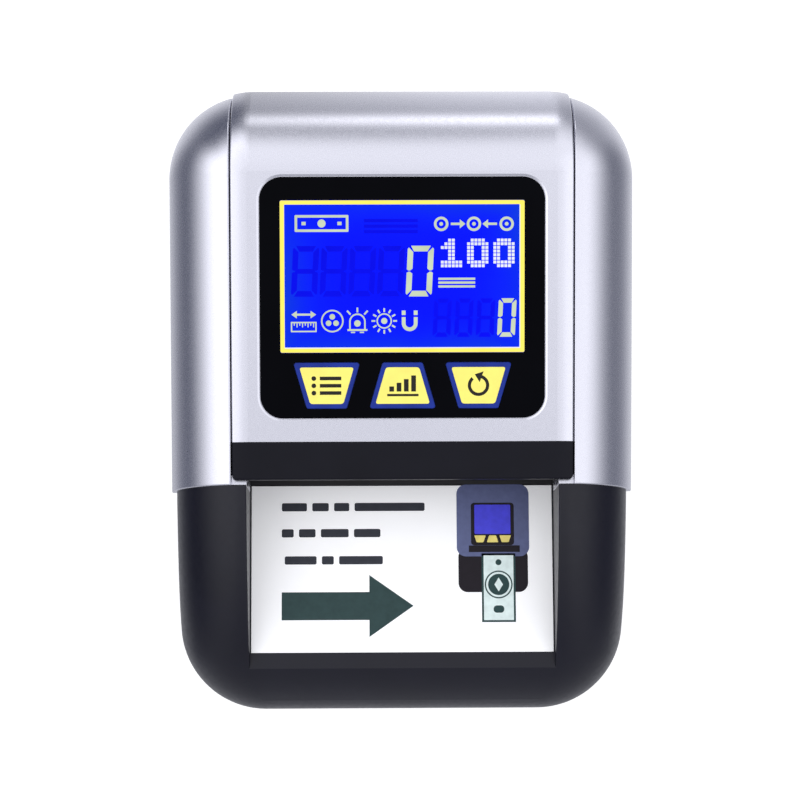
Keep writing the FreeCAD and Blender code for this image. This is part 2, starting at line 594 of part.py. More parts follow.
def motor():
    """Can motor with a front boss, an end cap and two solder tags."""
    x_face, x_back = -SIDE_X, MOTOR_BACK_X
    can = rod_x(MOTOR_R, x_face, x_back - 4, MOTOR_Y, GEAR_Z)
    can = can.makeFillet(1.0, [e for e in can.Edges if e.BoundBox.XMin > x_back - 5])
    boss = rod_x(3.0, x_face - SIDE_T, x_face, MOTOR_Y, GEAR_Z)
    cap = rod_x(MOTOR_R - 1.5, x_back - 5, x_back, MOTOR_Y, GEAR_Z)
    tag = box(x_back - 1, x_back + 2.5, MOTOR_Y - 1, MOTOR_Y + 1, GEAR_Z - 0.3, GEAR_Z + 0.3)
    tags = [tag.translated(V(0, d, 0)) for d in (-6, 6)]
    body = fused([can, boss, cap] + tags)
    return body.cut(rod_x(MOTOR_SHAFT_R + RUN, -60, x_back - 1.5, MOTOR_Y, GEAR_Z))


def idler_pin():
    pin = rod_x(IDLER_PIN_R, IDLER_PIN_X[0] + 1, -SIDE_X, IDLER_Y, GEAR_Z)
    return pin.fuse(rod_x(IDLER_HEAD_R, *IDLER_PIN_X, IDLER_Y, GEAR_Z)).removeSplitter()


def pulley(y):
    x0, x1, rim = PULLEY_X0, PULLEY_X1, PULLEY_RIM
    wheel = rod_x(PULLEY_R, x0, x1, y, SHAFT_Z)
    flanges = [rod_x(PULLEY_R + 1.3, x, x + rim, y, SHAFT_Z) for x in (x0 - rim, x1)]
    return fused([wheel] + flanges).cut(rod_x(SHAFT_R, 40, 60, y, SHAFT_Z))


def loop(r, x0, x1):
    """A flat-sided loop round both drive shafts."""
    ends = [rod_x(r, x0, x1, y, SHAFT_Z) for y in (FRONT_SHAFT_Y, REAR_SHAFT_Y)]
    return fused(ends + [box(x0, x1, FRONT_SHAFT_Y, REAR_SHAFT_Y, SHAFT_Z - r, SHAFT_Z + r)])


def drive_belt():
    inner_r = PULLEY_R + BELT_LIFT
    return loop(inner_r + BELT_T, PULLEY_X0 + 0.3, PULLEY_X1 - 0.3).cut(loop(inner_r, 40, 60))


def rollers(r, width, x, y, z, bore_r):
    tyre = rod_x(r, x - width / 2, x + width / 2, y, z)
    tyre = tyre.makeFillet(0.5, [e for e in tyre.Edges if e.BoundBox.XLength < 0.01])
    return Part.makeCompound(both_sides(tyre.cut(rod_x(bore_r, 0, 60, y, z))))


def encoder_disk():
    y, half = FRONT_SHAFT_Y, SLOT_W / 2
    disk = rod_x(DISK_R, DISK_X0, DISK_X1, y, SHAFT_Z)
    slot = box(DISK_X0 - 0.4, DISK_X1 + 0.8, y + SLOT_R0, y + SLOT_R1, SHAFT_Z - half, SHAFT_Z + half)
    for k in range(DISK_SLOTS):
        disk = disk.cut(slot.rotated(V(0, y, SHAFT_Z), V(1, 0, 0), 360 / DISK_SLOTS * k))
    hub = rod_x(3.6, DISK_X0 - 1.5, DISK_X1 + 1.2, y, SHAFT_Z)
    return fused([disk, hub]).cut(rod_x(SHAFT_R, 50, 60, FRONT_SHAFT_Y, SHAFT_Z))


def encoder_sensor():
    """Slotted light gate on a small upright board beside the encoder disk."""
    y0, z = FRONT_SHAFT_Y + 4.6, SHAFT_Z - 3
    gate = box(51.6, 56.0, y0, y0 + 6, z, z + 6).cut(box(52.7, 54.9, y0 - 1, y0 + 4.4, z - 1, z + 7))
    board = box(50.6, 57.0, y0 + 6, y0 + 7.2, FLOOR_Z + BASE_WALL, z + 7)
    return fused([gate, board])


# ---- boards, sensors and sockets ---------------------------------------------------------


def sensor_eyes(z0, z1):
    """The row of light sensors, evenly spaced across the note path."""
    middle_y = (SENSOR_Y0 + SENSOR_Y1) / 2
    xs = [(i - (SENSORS - 1) / 2) * SENSOR_PITCH for i in range(SENSORS)]
    return [rod_z(EYE_R, z0, z1, x, middle_y) for x in xs]


def lower_sensor_board():
    top = LOWER_SENSOR_Z + BOARD_T
    y0, y1 = SENSOR_Y0 - 4, SENSOR_Y1 + 4
    board = box(0.5 - SENSOR_HALF, SENSOR_HALF - 0.5, y0, y1, LOWER_SENSOR_Z, top)
    eyes = sensor_eyes(top, LOWER_SENSOR_Z + 4.6)
    spacers = [box(x - 2, x + 2, y, y + 2.6, top, PATH_Z - DECK_T) for x in (-37, 37) for y in (y0, y1 - 2.6)]
    return fused([board] + eyes + spacers)


def sensor_window(z0, z1):
    length = SENSOR_Y1 - SENSOR_Y0 + 1.6
    return rounded_plate(2 * SENSOR_HALF + 1.6, length, 0.6, z0, z1, (SENSOR_Y0 + SENSOR_Y1) / 2)


def magnetic_head():
    """Magnetic ink head, held under the deck by its two ears."""
    y = FRONT_SHAFT_Y
    body = box(-HEAD_X, HEAD_X, y - HEAD_Y, y + HEAD_Y, HEAD_Z, PATH_Z + 0.2)
    body = softened(body, 1.2, lambda e: e.BoundBox.ZMin > PATH_Z and e.BoundBox.XLength > 5)
    ears = box(-HEAD_X - 4.2, HEAD_X + 4.2, y - 3, y + 3, PATH_Z - DECK_T - EAR_T, PATH_Z - DECK_T)
    body = fused([body, ears])
    for x in (-3.6, 3.6):
        body = body.cut(box(x - 0.25, x + 0.25, y - 9, y + 9, PATH_Z - 0.6, 40))
    return body


def main_board():
    y0, top = 40.0, MAIN_BOARD_Z + BOARD_T
    board = box(-52, 52, y0, BOARD_REAR_Y, MAIN_BOARD_Z, top)
    for x, y in mirrored_points(BOARD_POSTS):
        board = board.cut(rod_z(1.3, 0, 20, x, y))
    chips = [
        box(-9, 5, 47, 56, top, top + 1.8),
        box(-30, -22, 46, 54, top, top + 1.6),
        box(20, 26, 46, 51, top, top + 1.4),
        box(-2, 4, 66, 70, top, top + 1.4),
    ]
    cans = [rod_z(3.1, top, top + 8, x, y) for x, y in ((36, 44.5), (36, 52), (-38, 47))]
    plugs = [box(x, x + 9, y0 + 0.5, y0 + 4.5, top, top + 6) for x in (-18, -4, 10, 21)]
    return fused([board] + chips + cans + plugs)


def buzzer():
    x, y, top = -10.0, 64.0, MAIN_BOARD_Z + BOARD_T
    body = rod_z(6.0, top, top + 7.5, x, y)
    body = body.makeFillet(0.6, [e for e in body.Edges if e.BoundBox.ZMin > top + 7])
    return body.cut(rod_z(1.0, top + 5.5, top + 9, x, y))


def chassis_screws():
    """Screws of the main board, and of the deck into its side plates and posts."""
    top = MAIN_BOARD_Z + BOARD_T
    screws = [screw(x, y, top + 1.6, FLOOR_Z + 2.5, 1.2, 2.3, 1.6) for x, y in mirrored_points(BOARD_POSTS)]
    for x, y in mirrored_points(PLATE_SCREWS + DECK_POSTS):
        screws.append(screw(x, y, PATH_Z - 0.1, 23.5, SCREW_R, 2.3, 1.1))
    return Part.makeCompound(screws)


def dc_jack():
    top = MAIN_BOARD_Z + BOARD_T
    shoulder = BASE_REAR_Y - 2.6
    body = box(JACK_X - 5, JACK_X + 5, PORT_BACK_Y - 4.0, shoulder, top, 20.2)
    nose = rod_y(JACK_NOSE_R, shoulder - 0.8, BASE_REAR_Y + 0.6, JACK_X, JACK_Z)
    jack = fused([body, nose]).cut(rod_y(JACK_BORE_R, PORT_BACK_Y + 0.5, FAR, JACK_X, JACK_Z))
    return jack.fuse(rod_y(JACK_PIN_R, PORT_BACK_Y, PORT_FACE_Y, JACK_X, JACK_Z)).removeSplitter()


def usb_port():
    x, z = USB_X, MAIN_BOARD_Z + BOARD_T
    shell = box(x - 3.9, x + 3.9, PORT_BACK_Y, PORT_FACE_Y, z, z + 4.0)
    shell = shell.cut(box(x - 3.4, x + 3.4, PORT_BACK_Y + 1.5, FAR, z + 0.5, z + 3.5))
    tongue = box(x - 2.4, x + 2.4, PORT_BACK_Y + 1.0, PORT_FACE_Y - 1.2, z + 1.5, z + 2.4)
    return shell.fuse(tongue).removeSplitter()


def switch_housing():
    """Snap-in frame of the power switch, hollow for its rocker."""
    x, z = ROCKER_X, ROCKER_Z
    rear = BASE_REAR_Y
    flange = box(x - 10.5, x + 10.5, rear, rear + 1.6, z - 7.5, z + 7.5)
    flange = softened(flange, 1.0, lambda e: e.BoundBox.YLength > 1)
    body = box(x - 9.4, x + 9.4, rear - 13.9, rear + 0.5, z - 6.2, z + 6.2)
    housing = fused([flange, body]).cut(box(x - 8.4, x + 8.4, rear - 10.4, FAR, z - 5.2, z + 5.2))
    ends = ((x - 8.4, x - 7.4), (x + 7.4, x + 8.4))
    return fused([housing] + [rod_x(TRUNNION_R, a, b, ROCKER_Y, z) for a, b in ends])


def power_rocker():
    """Rocker with a shallow V face, pressed in at the top."""
    x, y, z = ROCKER_X, ROCKER_Y, ROCKER_Z
    outline = [(-4.1, -3.2), (-4.1, 3.2), (3.6, 4.5), (4.6, 4.3), (3.5, 0.0), (4.6, -4.3), (3.6, -4.5)]
    cap = prism_x([(y + dy, z + dz) for dy, dz in outline], x - 8.15, x + 8.15)
    cap = cap.rotated(V(x, y, z), V(1, 0, 0), ROCKER_TILT)
    for a, b in ((x - 9, x - 7.2), (x + 7.2, x + 9)):
        cap = cap.cut(rod_x(TRUNNION_R + RUN, a, b, y, z))
    return cap


# ---- cover -------------------------------------------------------------------------------


def cover_region(y0, y1, half=COVER_HALF, z0=PARTING_Z):
    return box(-half, half, y0, y1, z0, FAR)


def cover_shell():
    """Silver centre cover: top skin, side walls, rear skirt and hinge lugs."""
    outer = FORM_COVER.common(cover_region(CHIN_SEAM_Y, FAR))

    def seam_edge(e):
        b = e.BoundBox
        at_side = b.XLength < 0.01 and abs(abs(b.XMin) - COVER_HALF) < 0.01
        return at_side and b.ZMax > 50 and b.YMax > 0

    outer = softened(outer, SEAM_R, seam_edge)
    hollow = silver_form(WALL, COVER_REAR_Y).common(cover_region(-FAR, FAR, COVER_HALF - WALL, 0))
    tail = box(-FAR, FAR, 78, FAR, 0, SKIRT_Z)
    shell = outer.cut(hollow).cut(tail)
    lug_x = COVER_HALF - LUG_GAP
    lugs = both_sides(rod_x(LUG_R, lug_x - LUG_T, lug_x, HINGE_Y, HINGE_Z))
    core, posts = silver_form(1.0, COVER_REAR_Y), []
    for x, y in COVER_POSTS:
        posts += both_sides(rod_z(COVER_POST_R, UPPER_Z + UPPER_T, FAR, x, y).common(core))
    shell = fused([shell] + lugs + posts)
    shell = shell.cut(rod_x(PIN_R + RUN, -FAR, FAR, HINGE_Y, HINGE_Z))
    for x, y in mirrored_points(COVER_POSTS):
        shell = shell.cut(rod_z(SCREW_R, 20, SCREW_TOP, x, y))
    recess = rounded_plate(PANEL_W + 0.4, PANEL_L + 0.4, PANEL_R + 0.2, -PANEL_SINK - PANEL_T, 5, PANEL_S)
    opening = rounded_plate(PANEL_W - 2.4, PANEL_L - 2.4, PANEL_R - 1.2, -8, 5, PANEL_S)
    return shell.cut(on_face(recess)).cut(on_face(opening)).cut(on_face(recess_rim()))


def recess_rim():
    """The cutter for the shallow bevel round the panel's recess."""
    wires = []
    for grow, z in ((0.2, -RIM_DEPTH), (0.2 + RIM_WIDTH, 0.0)):
        plate = rounded_plate(PANEL_W + 2 * grow, PANEL_L + 2 * grow, PANEL_R + grow, z, z + 1, PANEL_S)
        wires.append(next(f for f in plate.Faces if f.BoundBox.ZMax < z + 0.01).OuterWire)
    return Part.makeLoft(wires, True, True)


def front_chin():
    """Black front lip of the cover, with the ramp that funnels a note in."""
    front, lip_z, back = CHIN_FRONT_Y, 55.3, -17.0
    behind_jamb = CHEEK_FRONT_Y + 3.4
    top = FORM_COVER.common(cover_region(front, CHIN_SEAM_Y, COVER_HALF, 40))

    def front_corner(e):
        b = e.BoundBox
        return b.ZLength > 5 and b.XLength < 0.01 and b.YLength < 0.01 and abs(b.YMax - front) < 0.01

    top = top.makeFillet(CHIN_CORNER_R, [e for e in top.Edges if front_corner(e)])
    top = softened(top, 0.7, lambda e: e.BoundBox.ZMin > 50 and edge_on_rim(e))
    top = top.cut(box(-FAR, FAR, -FAR, back, 0, lip_z)).cut(box(-FAR, FAR, back, 0, 0, lip_z + 1))
    start = front + 1.0
    ramp = [
        (start, lip_z),
        (RAMP_END_Y, UPPER_Z),
        (RAMP_END_Y + 2.4, UPPER_Z),
        (RAMP_END_Y + 2.4, UPPER_Z + UPPER_T),
        (RAMP_END_Y + 0.8, UPPER_Z + UPPER_T + 0.6),
        (start + 2.6, lip_z),
    ]
    pieces = [top, prism_x(ramp, 0.3 - TRAY_HALF, TRAY_HALF - 0.3)]
    wide = prism_x(ramp, 0.1 - COVER_HALF, COVER_HALF - 0.1)
    pieces.append(wide.common(FORM_COVER).common(box(-FAR, FAR, behind_jamb, CHIN_SEAM_Y, PARTING_Z, FAR)))
    for wall in both_sides(box(COVER_HALF - WALL, COVER_HALF, behind_jamb, CHIN_SEAM_Y, PARTING_Z, 57)):
        pieces.append(wall.common(FORM_COVER))
    return fused(pieces)


def edge_on_rim(edge):
    b = edge.BoundBox
    across_front = b.YLength < 0.1 and abs(b.YMin - CHIN_FRONT_Y) < 0.1
    along_side = b.XLength < 0.1 and abs(abs(b.XMin) - COVER_HALF) < 0.1 and b.YLength > 5
    corner = b.YMax < CHIN_FRONT_Y + CHIN_CORNER_R + 0.2 and 0.1 < b.XLength < 3
    return across_front or along_side or corner


def trapezoid(wide, narrow, length, z0, z1, x, y, wide_up, grow=0.0):
    """A key outline. grow moves every side outwards by that much."""
    lean = math.atan2((wide - narrow) / 2, length)
    side = grow / math.cos(lean)
    shift = math.tan(lean) * grow
    top, bottom = wide / 2 + side + shift, narrow / 2 + side - shift
    if not wide_up:
        top, bottom = bottom, top
    half = length / 2 + grow
    rims = ((-top, half), (top, half), (bottom, -half), (-bottom, -half))
    points = [V(x + dx, y + dy, z0) for dx, dy in rims]
    return Part.Face(Part.makePolygon(points + points[:1])).extrude(V(0, 0, z1 - z0))


KEYS = [("func_key", -KEY_X, True), ("total_key", 0.0, False), ("reset_key", KEY_X, True)]


def key_outline(x, wide_up, z0, z1, grow=0.0):
    solid = trapezoid(KEY_WIDE, KEY_NARROW, KEY_LONG, z0, z1, x, KEY_S, wide_up, grow)
    upright = [e for e in solid.Edges if e.BoundBox.ZLength > (z1 - z0) * 0.9]
    return solid.makeFillet(0.7 + max(grow, -0.4), upright)


def key_cap(x, wide_up):
    cap = key_outline(x, wide_up, -1.3, 0.2)
    cap = softened(cap, 0.25, lambda e: e.BoundBox.ZMin > 0.19)
    flange = key_outline(x, wide_up, -2.0, -1.2, 0.8)
    stem = rod_z(2.2, -3.2, -1.9, x, KEY_S)
    return on_face(fused([cap, flange, stem]))


def control_panel():
    """Gloss black fascia with a window for the display and openings for the keys."""
    plate = rounded_plate(PANEL_W, PANEL_L, PANEL_R, -PANEL_SINK - PANEL_T, -PANEL_SINK, PANEL_S)
    plate = softened(plate, 0.25, lambda e: e.BoundBox.ZMin > -PANEL_SINK - 0.01)
    plate = plate.cut(rounded_plate(LCD_W + 0.1, LCD_L + 0.1, 0.5, -5, 5, LCD_S))
    for _, x, wide_up in KEYS:
        plate = plate.cut(key_outline(x, wide_up, -5, 5, KEY_GAP))
    posts = [rod_z(1.5, -8.4, -PANEL_SINK - 0.5, x, y) for x in (-36.5, 36.5) for y in (13.0, 73.2)]
    return on_face(fused([plate] + posts))


def display_lens():
    return on_face(rounded_plate(LCD_W, LCD_L, 0.45, -PANEL_SINK - PANEL_T, -PANEL_SINK - 0.05, LCD_S))


def lcd_glass():
    return on_face(rounded_plate(LCD_W + 3, LCD_L + 2, 0.5, -3.4, -1.3, LCD_S))


def lcd_backlight():
    tray = rounded_plate(LCD_W + 3, LCD_L + 2, 0.5, -7.0, -3.4, LCD_S)
    spots = [(x, LCD_S + y) for x in (-34, 34) for y in (-19, 19)]
    legs = [box(x - 1, x + 1, y - 1, y + 1, -8.4, -6.8) for x, y in spots]
    return on_face(fused([tray] + legs))


def display_board():
    board = rounded_plate(77.6, 64.4, 2.0, -8.4 - BOARD_T, -8.4, PANEL_S)
    under = -8.3 - BOARD_T
    chips = [
        box(-12, 2, 46, 60, under - 1.7, under),
        box(14, 24, 34, 42, under - 1.5, under),
        box(-30, -14, 22, 26, under - 3.6, under),
    ]
    return on_face(fused([board] + chips))


def key_switches():
    switches = []
    for _, x, _up in KEYS:
        body = box(x - 3, x + 3, KEY_S - 3, KEY_S + 3, -8.4, -4.8)
        switches.append(on_face(fused([body, rod_z(1.6, -5, -3.9, x, KEY_S)])))
    return Part.makeCompound(switches)


def upper_guide_plate():
    """Underside of the cover, with roller openings, bearing posts and a sensor window."""
    end_y, top = UPPER_END_Y, UPPER_Z + UPPER_T
    plate = box(-UPPER_HALF, UPPER_HALF, RAMP_END_Y + 2.6, end_y, UPPER_Z, top)
    posts = []
    for y in (FRONT_SHAFT_Y, REAR_SHAFT_Y):
        posts += both_sides(box(BEARING_X0, BEARING_X1, y - 4, y + 4, UPPER_Z + 1, BEARING_TOP))
    outline = [(end_y, UPPER_Z), (end_y + 1.1, UPPER_Z + 1.0), (end_y + 1.1, top), (end_y, top)]
    lip = prism_x(outline, -SENSOR_HALF, SENSOR_HALF)
    plate = fused([plate, lip] + posts)
    r, swing = PINCH_AXLE_R + RUN, PINCH_R + 0.7
    for y in (FRONT_SHAFT_Y, REAR_SHAFT_Y):
        plate = plate.cut(rod_x(r, -50, 50, y, PINCH_Z)).cut(box(-50, 50, y - r, y + r, PINCH_Z, 60))
        for x in (ROLLER_X, -ROLLER_X):
            plate = plate.cut(window(x - ROLLER_W / 2 - 0.7, x + ROLLER_W / 2 + 0.7, y - swing, y + swing))
    plate = plate.cut(window(-11.6, 11.6, FRONT_SHAFT_Y - swing, FRONT_SHAFT_Y + swing))
    half = SENSOR_HALF
    plate = plate.cut(window(-half, half, SENSOR_Y0, SENSOR_Y1))
    plate = plate.cut(box(-half - 1, half + 1, SENSOR_Y0 - 1, SENSOR_Y1 + 1, 30, UPPER_Z + HEAD_DEPTH))
    for x, y in mirrored_points(COVER_POSTS):
        hole, head = rod_z(SCREW_R + 0.1, 20, 45, x, y), rod_z(COVER_HEAD_R, 20, UPPER_Z + HEAD_DEPTH, x, y)
        plate = plate.cut(hole).cut(head)
    return plate


def upper_sensor_board():
    y0, z = SENSOR_Y0 - 4, UPPER_SENSOR_Z
    board = box(-SENSOR_HALF, SENSOR_HALF, y0, SENSOR_Y1 + 4, z, z + BOARD_T)
    eyes = sensor_eyes(z - 3.0, z + 0.2)
    feet = [box(x - 2, x + 2, y0, y0 + 2, UPPER_Z + UPPER_T, z + 0.2) for x in (-38, 38)]
    return fused([board] + eyes + feet)


def cover_screws():
    spots = mirrored_points(COVER_POSTS)
    return Part.makeCompound([screw(x, y, UPPER_Z + 0.1, 45, SCREW_R, 2.4, 1.1) for x, y in spots])


def pinch_springs():
    """Four leaf springs that press the upper roller axles down."""
    leaf_t, seat = 0.4, UPPER_Z + UPPER_T
    over = PINCH_Z + PINCH_AXLE_R + 0.1
    bends = [(11, seat), (7, seat), (3.2, over + 1.2), (0, over), (-3, over + 1.0)]
    springs = []
    for y in (FRONT_SHAFT_Y, REAR_SHAFT_Y):
        below = [(y + dy, z) for dy, z in bends]
        above = [(a, z + leaf_t) for a, z in reversed(below)]
        springs += both_sides(prism_x(below + above, BEARING_X0 - 2.0, BEARING_X0 - 0.2))
    return Part.makeCompound(springs)


def pinch_axle(y):
    half = BEARING_X1 - 0.2
    return rod_x(PINCH_AXLE_R, -half, half, y, PINCH_Z)


def head_press_roller():
    roll = rod_x(PINCH_R - 0.1, -10.6, 10.6, FRONT_SHAFT_Y, PINCH_Z)
    return roll.cut(rod_x(PINCH_AXLE_R, -20, 20, FRONT_SHAFT_Y, PINCH_Z))


# ---- write one file per node -------------------------------------------------------------


def parts():
    right = cheek()
    yield "base_shell", base_shell()
    yield "right_cheek", right
    yield "left_cheek", mirrored(right)
    yield "lower_guide_plate", lower_guide_plate()
    yield "guide_label", guide_label()
    yield "right_side_plate", side_plate()
    yield "left_side_plate", left_side_plate()
    yield "shaft_bushes", shaft_bushes()
    yield "rubber_feet", rubber_feet()
    yield "housing_screws", housing_screws()
    yield "hinge_pins", hinge_pins()
    yield "battery_pack", battery_pack()
    yield "battery_door", battery_door()
    yield "motor", motor()
    yield "idler_pin", idler_pin()
    yield "drive_belt", drive_belt()
    yield "encoder_sensor", encoder_sensor()
    yield "magnetic_head", magnetic_head()
    yield "lower_sensor_board", lower_sensor_board()
    yield "lower_sensor_window", sensor_window(PATH_Z - 1.5, PATH_Z - 0.1)
    yield "main_board", main_board()
    yield "buzzer", buzzer()
    yield "chassis_screws", chassis_screws()
    yield "dc_jack", dc_jack()
    yield "usb_port", usb_port()
    yield "switch_housing", switch_housing()
    yield "power_rocker", power_rocker()
    yield "front_drive_shaft", rod_x(SHAFT_R, -56.0, 56.5, FRONT_SHAFT_Y, SHAFT_Z)
    yield "front_drive_rollers", rollers(ROLLER_R, ROLLER_W, ROLLER_X, FRONT_SHAFT_Y, SHAFT_Z, SHAFT_R)
    yield "drive_gear", drive_gear()
    yield "front_pulley", pulley(FRONT_SHAFT_Y)
    yield "encoder_disk", encoder_disk()
    yield "rear_drive_shaft", rod_x(SHAFT_R, -46.0, 52.5, REAR_SHAFT_Y, SHAFT_Z)
    yield "rear_drive_rollers", rollers(ROLLER_R, ROLLER_W, ROLLER_X, REAR_SHAFT_Y, SHAFT_Z, SHAFT_R)
    yield "rear_pulley", pulley(REAR_SHAFT_Y)
    yield "idler_gear", idler_gear()
    yield "motor_shaft", motor_shaft()
    yield "motor_pinion", motor_pinion()
    yield "cover_shell", cover_shell()
    yield "front_chin", front_chin()
    yield "control_panel", control_panel()
    yield "display_lens", display_lens()
    yield "lcd_glass", lcd_glass()
    yield "lcd_backlight", lcd_backlight()
    yield "display_board", display_board()
    yield "key_switches", key_switches()
    yield "upper_guide_plate", upper_guide_plate()
    yield "upper_sensor_board", upper_sensor_board()
    yield "upper_sensor_window", sensor_window(UPPER_Z + 0.1, UPPER_Z + 1.2)
    yield "cover_screws", cover_screws()
    yield "pinch_springs", pinch_springs()
    for name, x, wide_up in KEYS:
        yield name, key_cap(x, wide_up)
    yield "front_pinch_axle", pinch_axle(FRONT_SHAFT_Y)
    yield "front_pinch_rollers", rollers(PINCH_R, ROLLER_W, ROLLER_X, FRONT_SHAFT_Y, PINCH_Z, PINCH_AXLE_R)
    yield "head_press_roller", head_press_roller()
    yield "rear_pinch_axle", pinch_axle(REAR_SHAFT_Y)
    yield "rear_pinch_rollers", rollers(PINCH_R, ROLLER_W, ROLLER_X, REAR_SHAFT_Y, PINCH_Z, PINCH_AXLE_R)


def main():
    os.makedirs("parts", exist_ok=True)
    for name, shape in parts():
        solids = shape.Solids
        if not solids or not shape.isValid() or min(s.Volume for s in solids) <= 0:
            print("check", name, len(solids), shape.isValid())
        whole = solids[0] if len(solids) == 1 else Part.makeCompound(solids)
        whole.exportStep("parts/" + name + ".step")
        print(name, len(solids), round(whole.Volume), "mm3")


main()
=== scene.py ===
"""Looks of the counterfeit bill detector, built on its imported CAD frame. Metres, +Z up, -Y to the user."""

import json
import math

import bmesh
import bpy
from mathutils import Euler, Matrix, Vector


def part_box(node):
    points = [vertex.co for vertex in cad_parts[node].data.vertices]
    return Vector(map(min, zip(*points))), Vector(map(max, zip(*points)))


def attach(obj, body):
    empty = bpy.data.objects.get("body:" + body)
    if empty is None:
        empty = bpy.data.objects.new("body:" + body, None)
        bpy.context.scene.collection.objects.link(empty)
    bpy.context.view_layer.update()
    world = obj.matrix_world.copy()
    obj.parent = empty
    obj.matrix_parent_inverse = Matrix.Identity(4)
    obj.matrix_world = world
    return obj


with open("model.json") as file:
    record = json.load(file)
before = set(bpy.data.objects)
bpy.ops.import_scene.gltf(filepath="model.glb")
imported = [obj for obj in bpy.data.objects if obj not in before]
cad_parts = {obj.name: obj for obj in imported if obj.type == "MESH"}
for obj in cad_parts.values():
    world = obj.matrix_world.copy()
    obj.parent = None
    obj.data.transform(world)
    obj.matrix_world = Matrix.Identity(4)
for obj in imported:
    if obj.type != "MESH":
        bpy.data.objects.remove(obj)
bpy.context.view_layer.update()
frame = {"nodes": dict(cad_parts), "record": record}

NODES = frame["nodes"]
MM = 0.001

# ---- driving dimensions: printed artwork in millimetres ----------------------------------

FACE_SLOPE = math.radians(12.0)
PRINT_T = 0.03  # thickness of a printed layer
PRINT_SINK = 0.01  # how far it is let into what it is printed on

LIT_FRAME_OUT = (71.0, 44.1)
LIT_FRAME_IN = (68.6, 41.8)
WHITE_LINE = 0.35

BIG_DIGIT = {"width": 7.6, "height": 14.7, "weight": 1.65, "slant": 0.05}
SMALL_DIGIT = {"width": 5.2, "height": 11.2, "weight": 1.3, "slant": 0.05}
BIG_PITCH, SMALL_PITCH = 8.3, 6.3
DOT_PITCH, DOT_SIZE, DOT_GLYPH_PITCH = 1.06, 0.84, 7.63
DOT_ONE = ["..XX..", ".XXX..", "XXXX..", "..XX..", "..XX..", "..XX..", "XXXXXX", "XXXXXX"]
DOT_ZERO = [".XXXX.", "XXXXXX", "XX..XX", "XX..XX", "XX..XX", "XX..XX", "XXXXXX", ".XXXX."]

KEY_FACE_INSETS = (2.75, 1.9, 2.4)  # by how much the face is less wide, narrow and long than the key
KEY_FACE_T, KEY_FACE_SINK = 0.12, 0.05
KEY_ICON_SCALE = 1.25
LABEL_BAR_H = 2.5
LABEL_LAYER_T, LABEL_SINK = 0.02, 0.008

# ---- camera ------------------------------------------------------------------------------

CAMERA_TILT = math.radians(8.0)
CAMERA_SWING = math.radians(-0.75)  # the view comes from a little to the left of the middle
CAMERA_ROLL = math.radians(-0.3)
CAMERA_DISTANCE = 0.7
CAMERA_AIM = Vector((-0.00055, -0.00045, 0.045))
CAMERA_LENS = 105.4


def add_camera():
    data = bpy.data.cameras.new("camera")
    data.lens = CAMERA_LENS
    camera = bpy.data.objects.new("camera", data)
    bpy.context.scene.collection.objects.link(camera)
    turn = Euler((CAMERA_TILT, CAMERA_SWING, 0.0)).to_matrix() @ Matrix.Rotation(CAMERA_ROLL, 3, "Z")
    camera.location = CAMERA_AIM + turn @ Vector((0.0, 0.0, CAMERA_DISTANCE))
    camera.rotation_euler = turn.to_euler()
    data.clip_start = 0.01
    bpy.context.scene.camera = camera


add_camera()

# ---- materials ---------------------------------------------------------------------------

MIX_COLORS_IN, MIX_COLOR_OUT = (6, 7), 2  # a mix node's colour sockets, which share their names


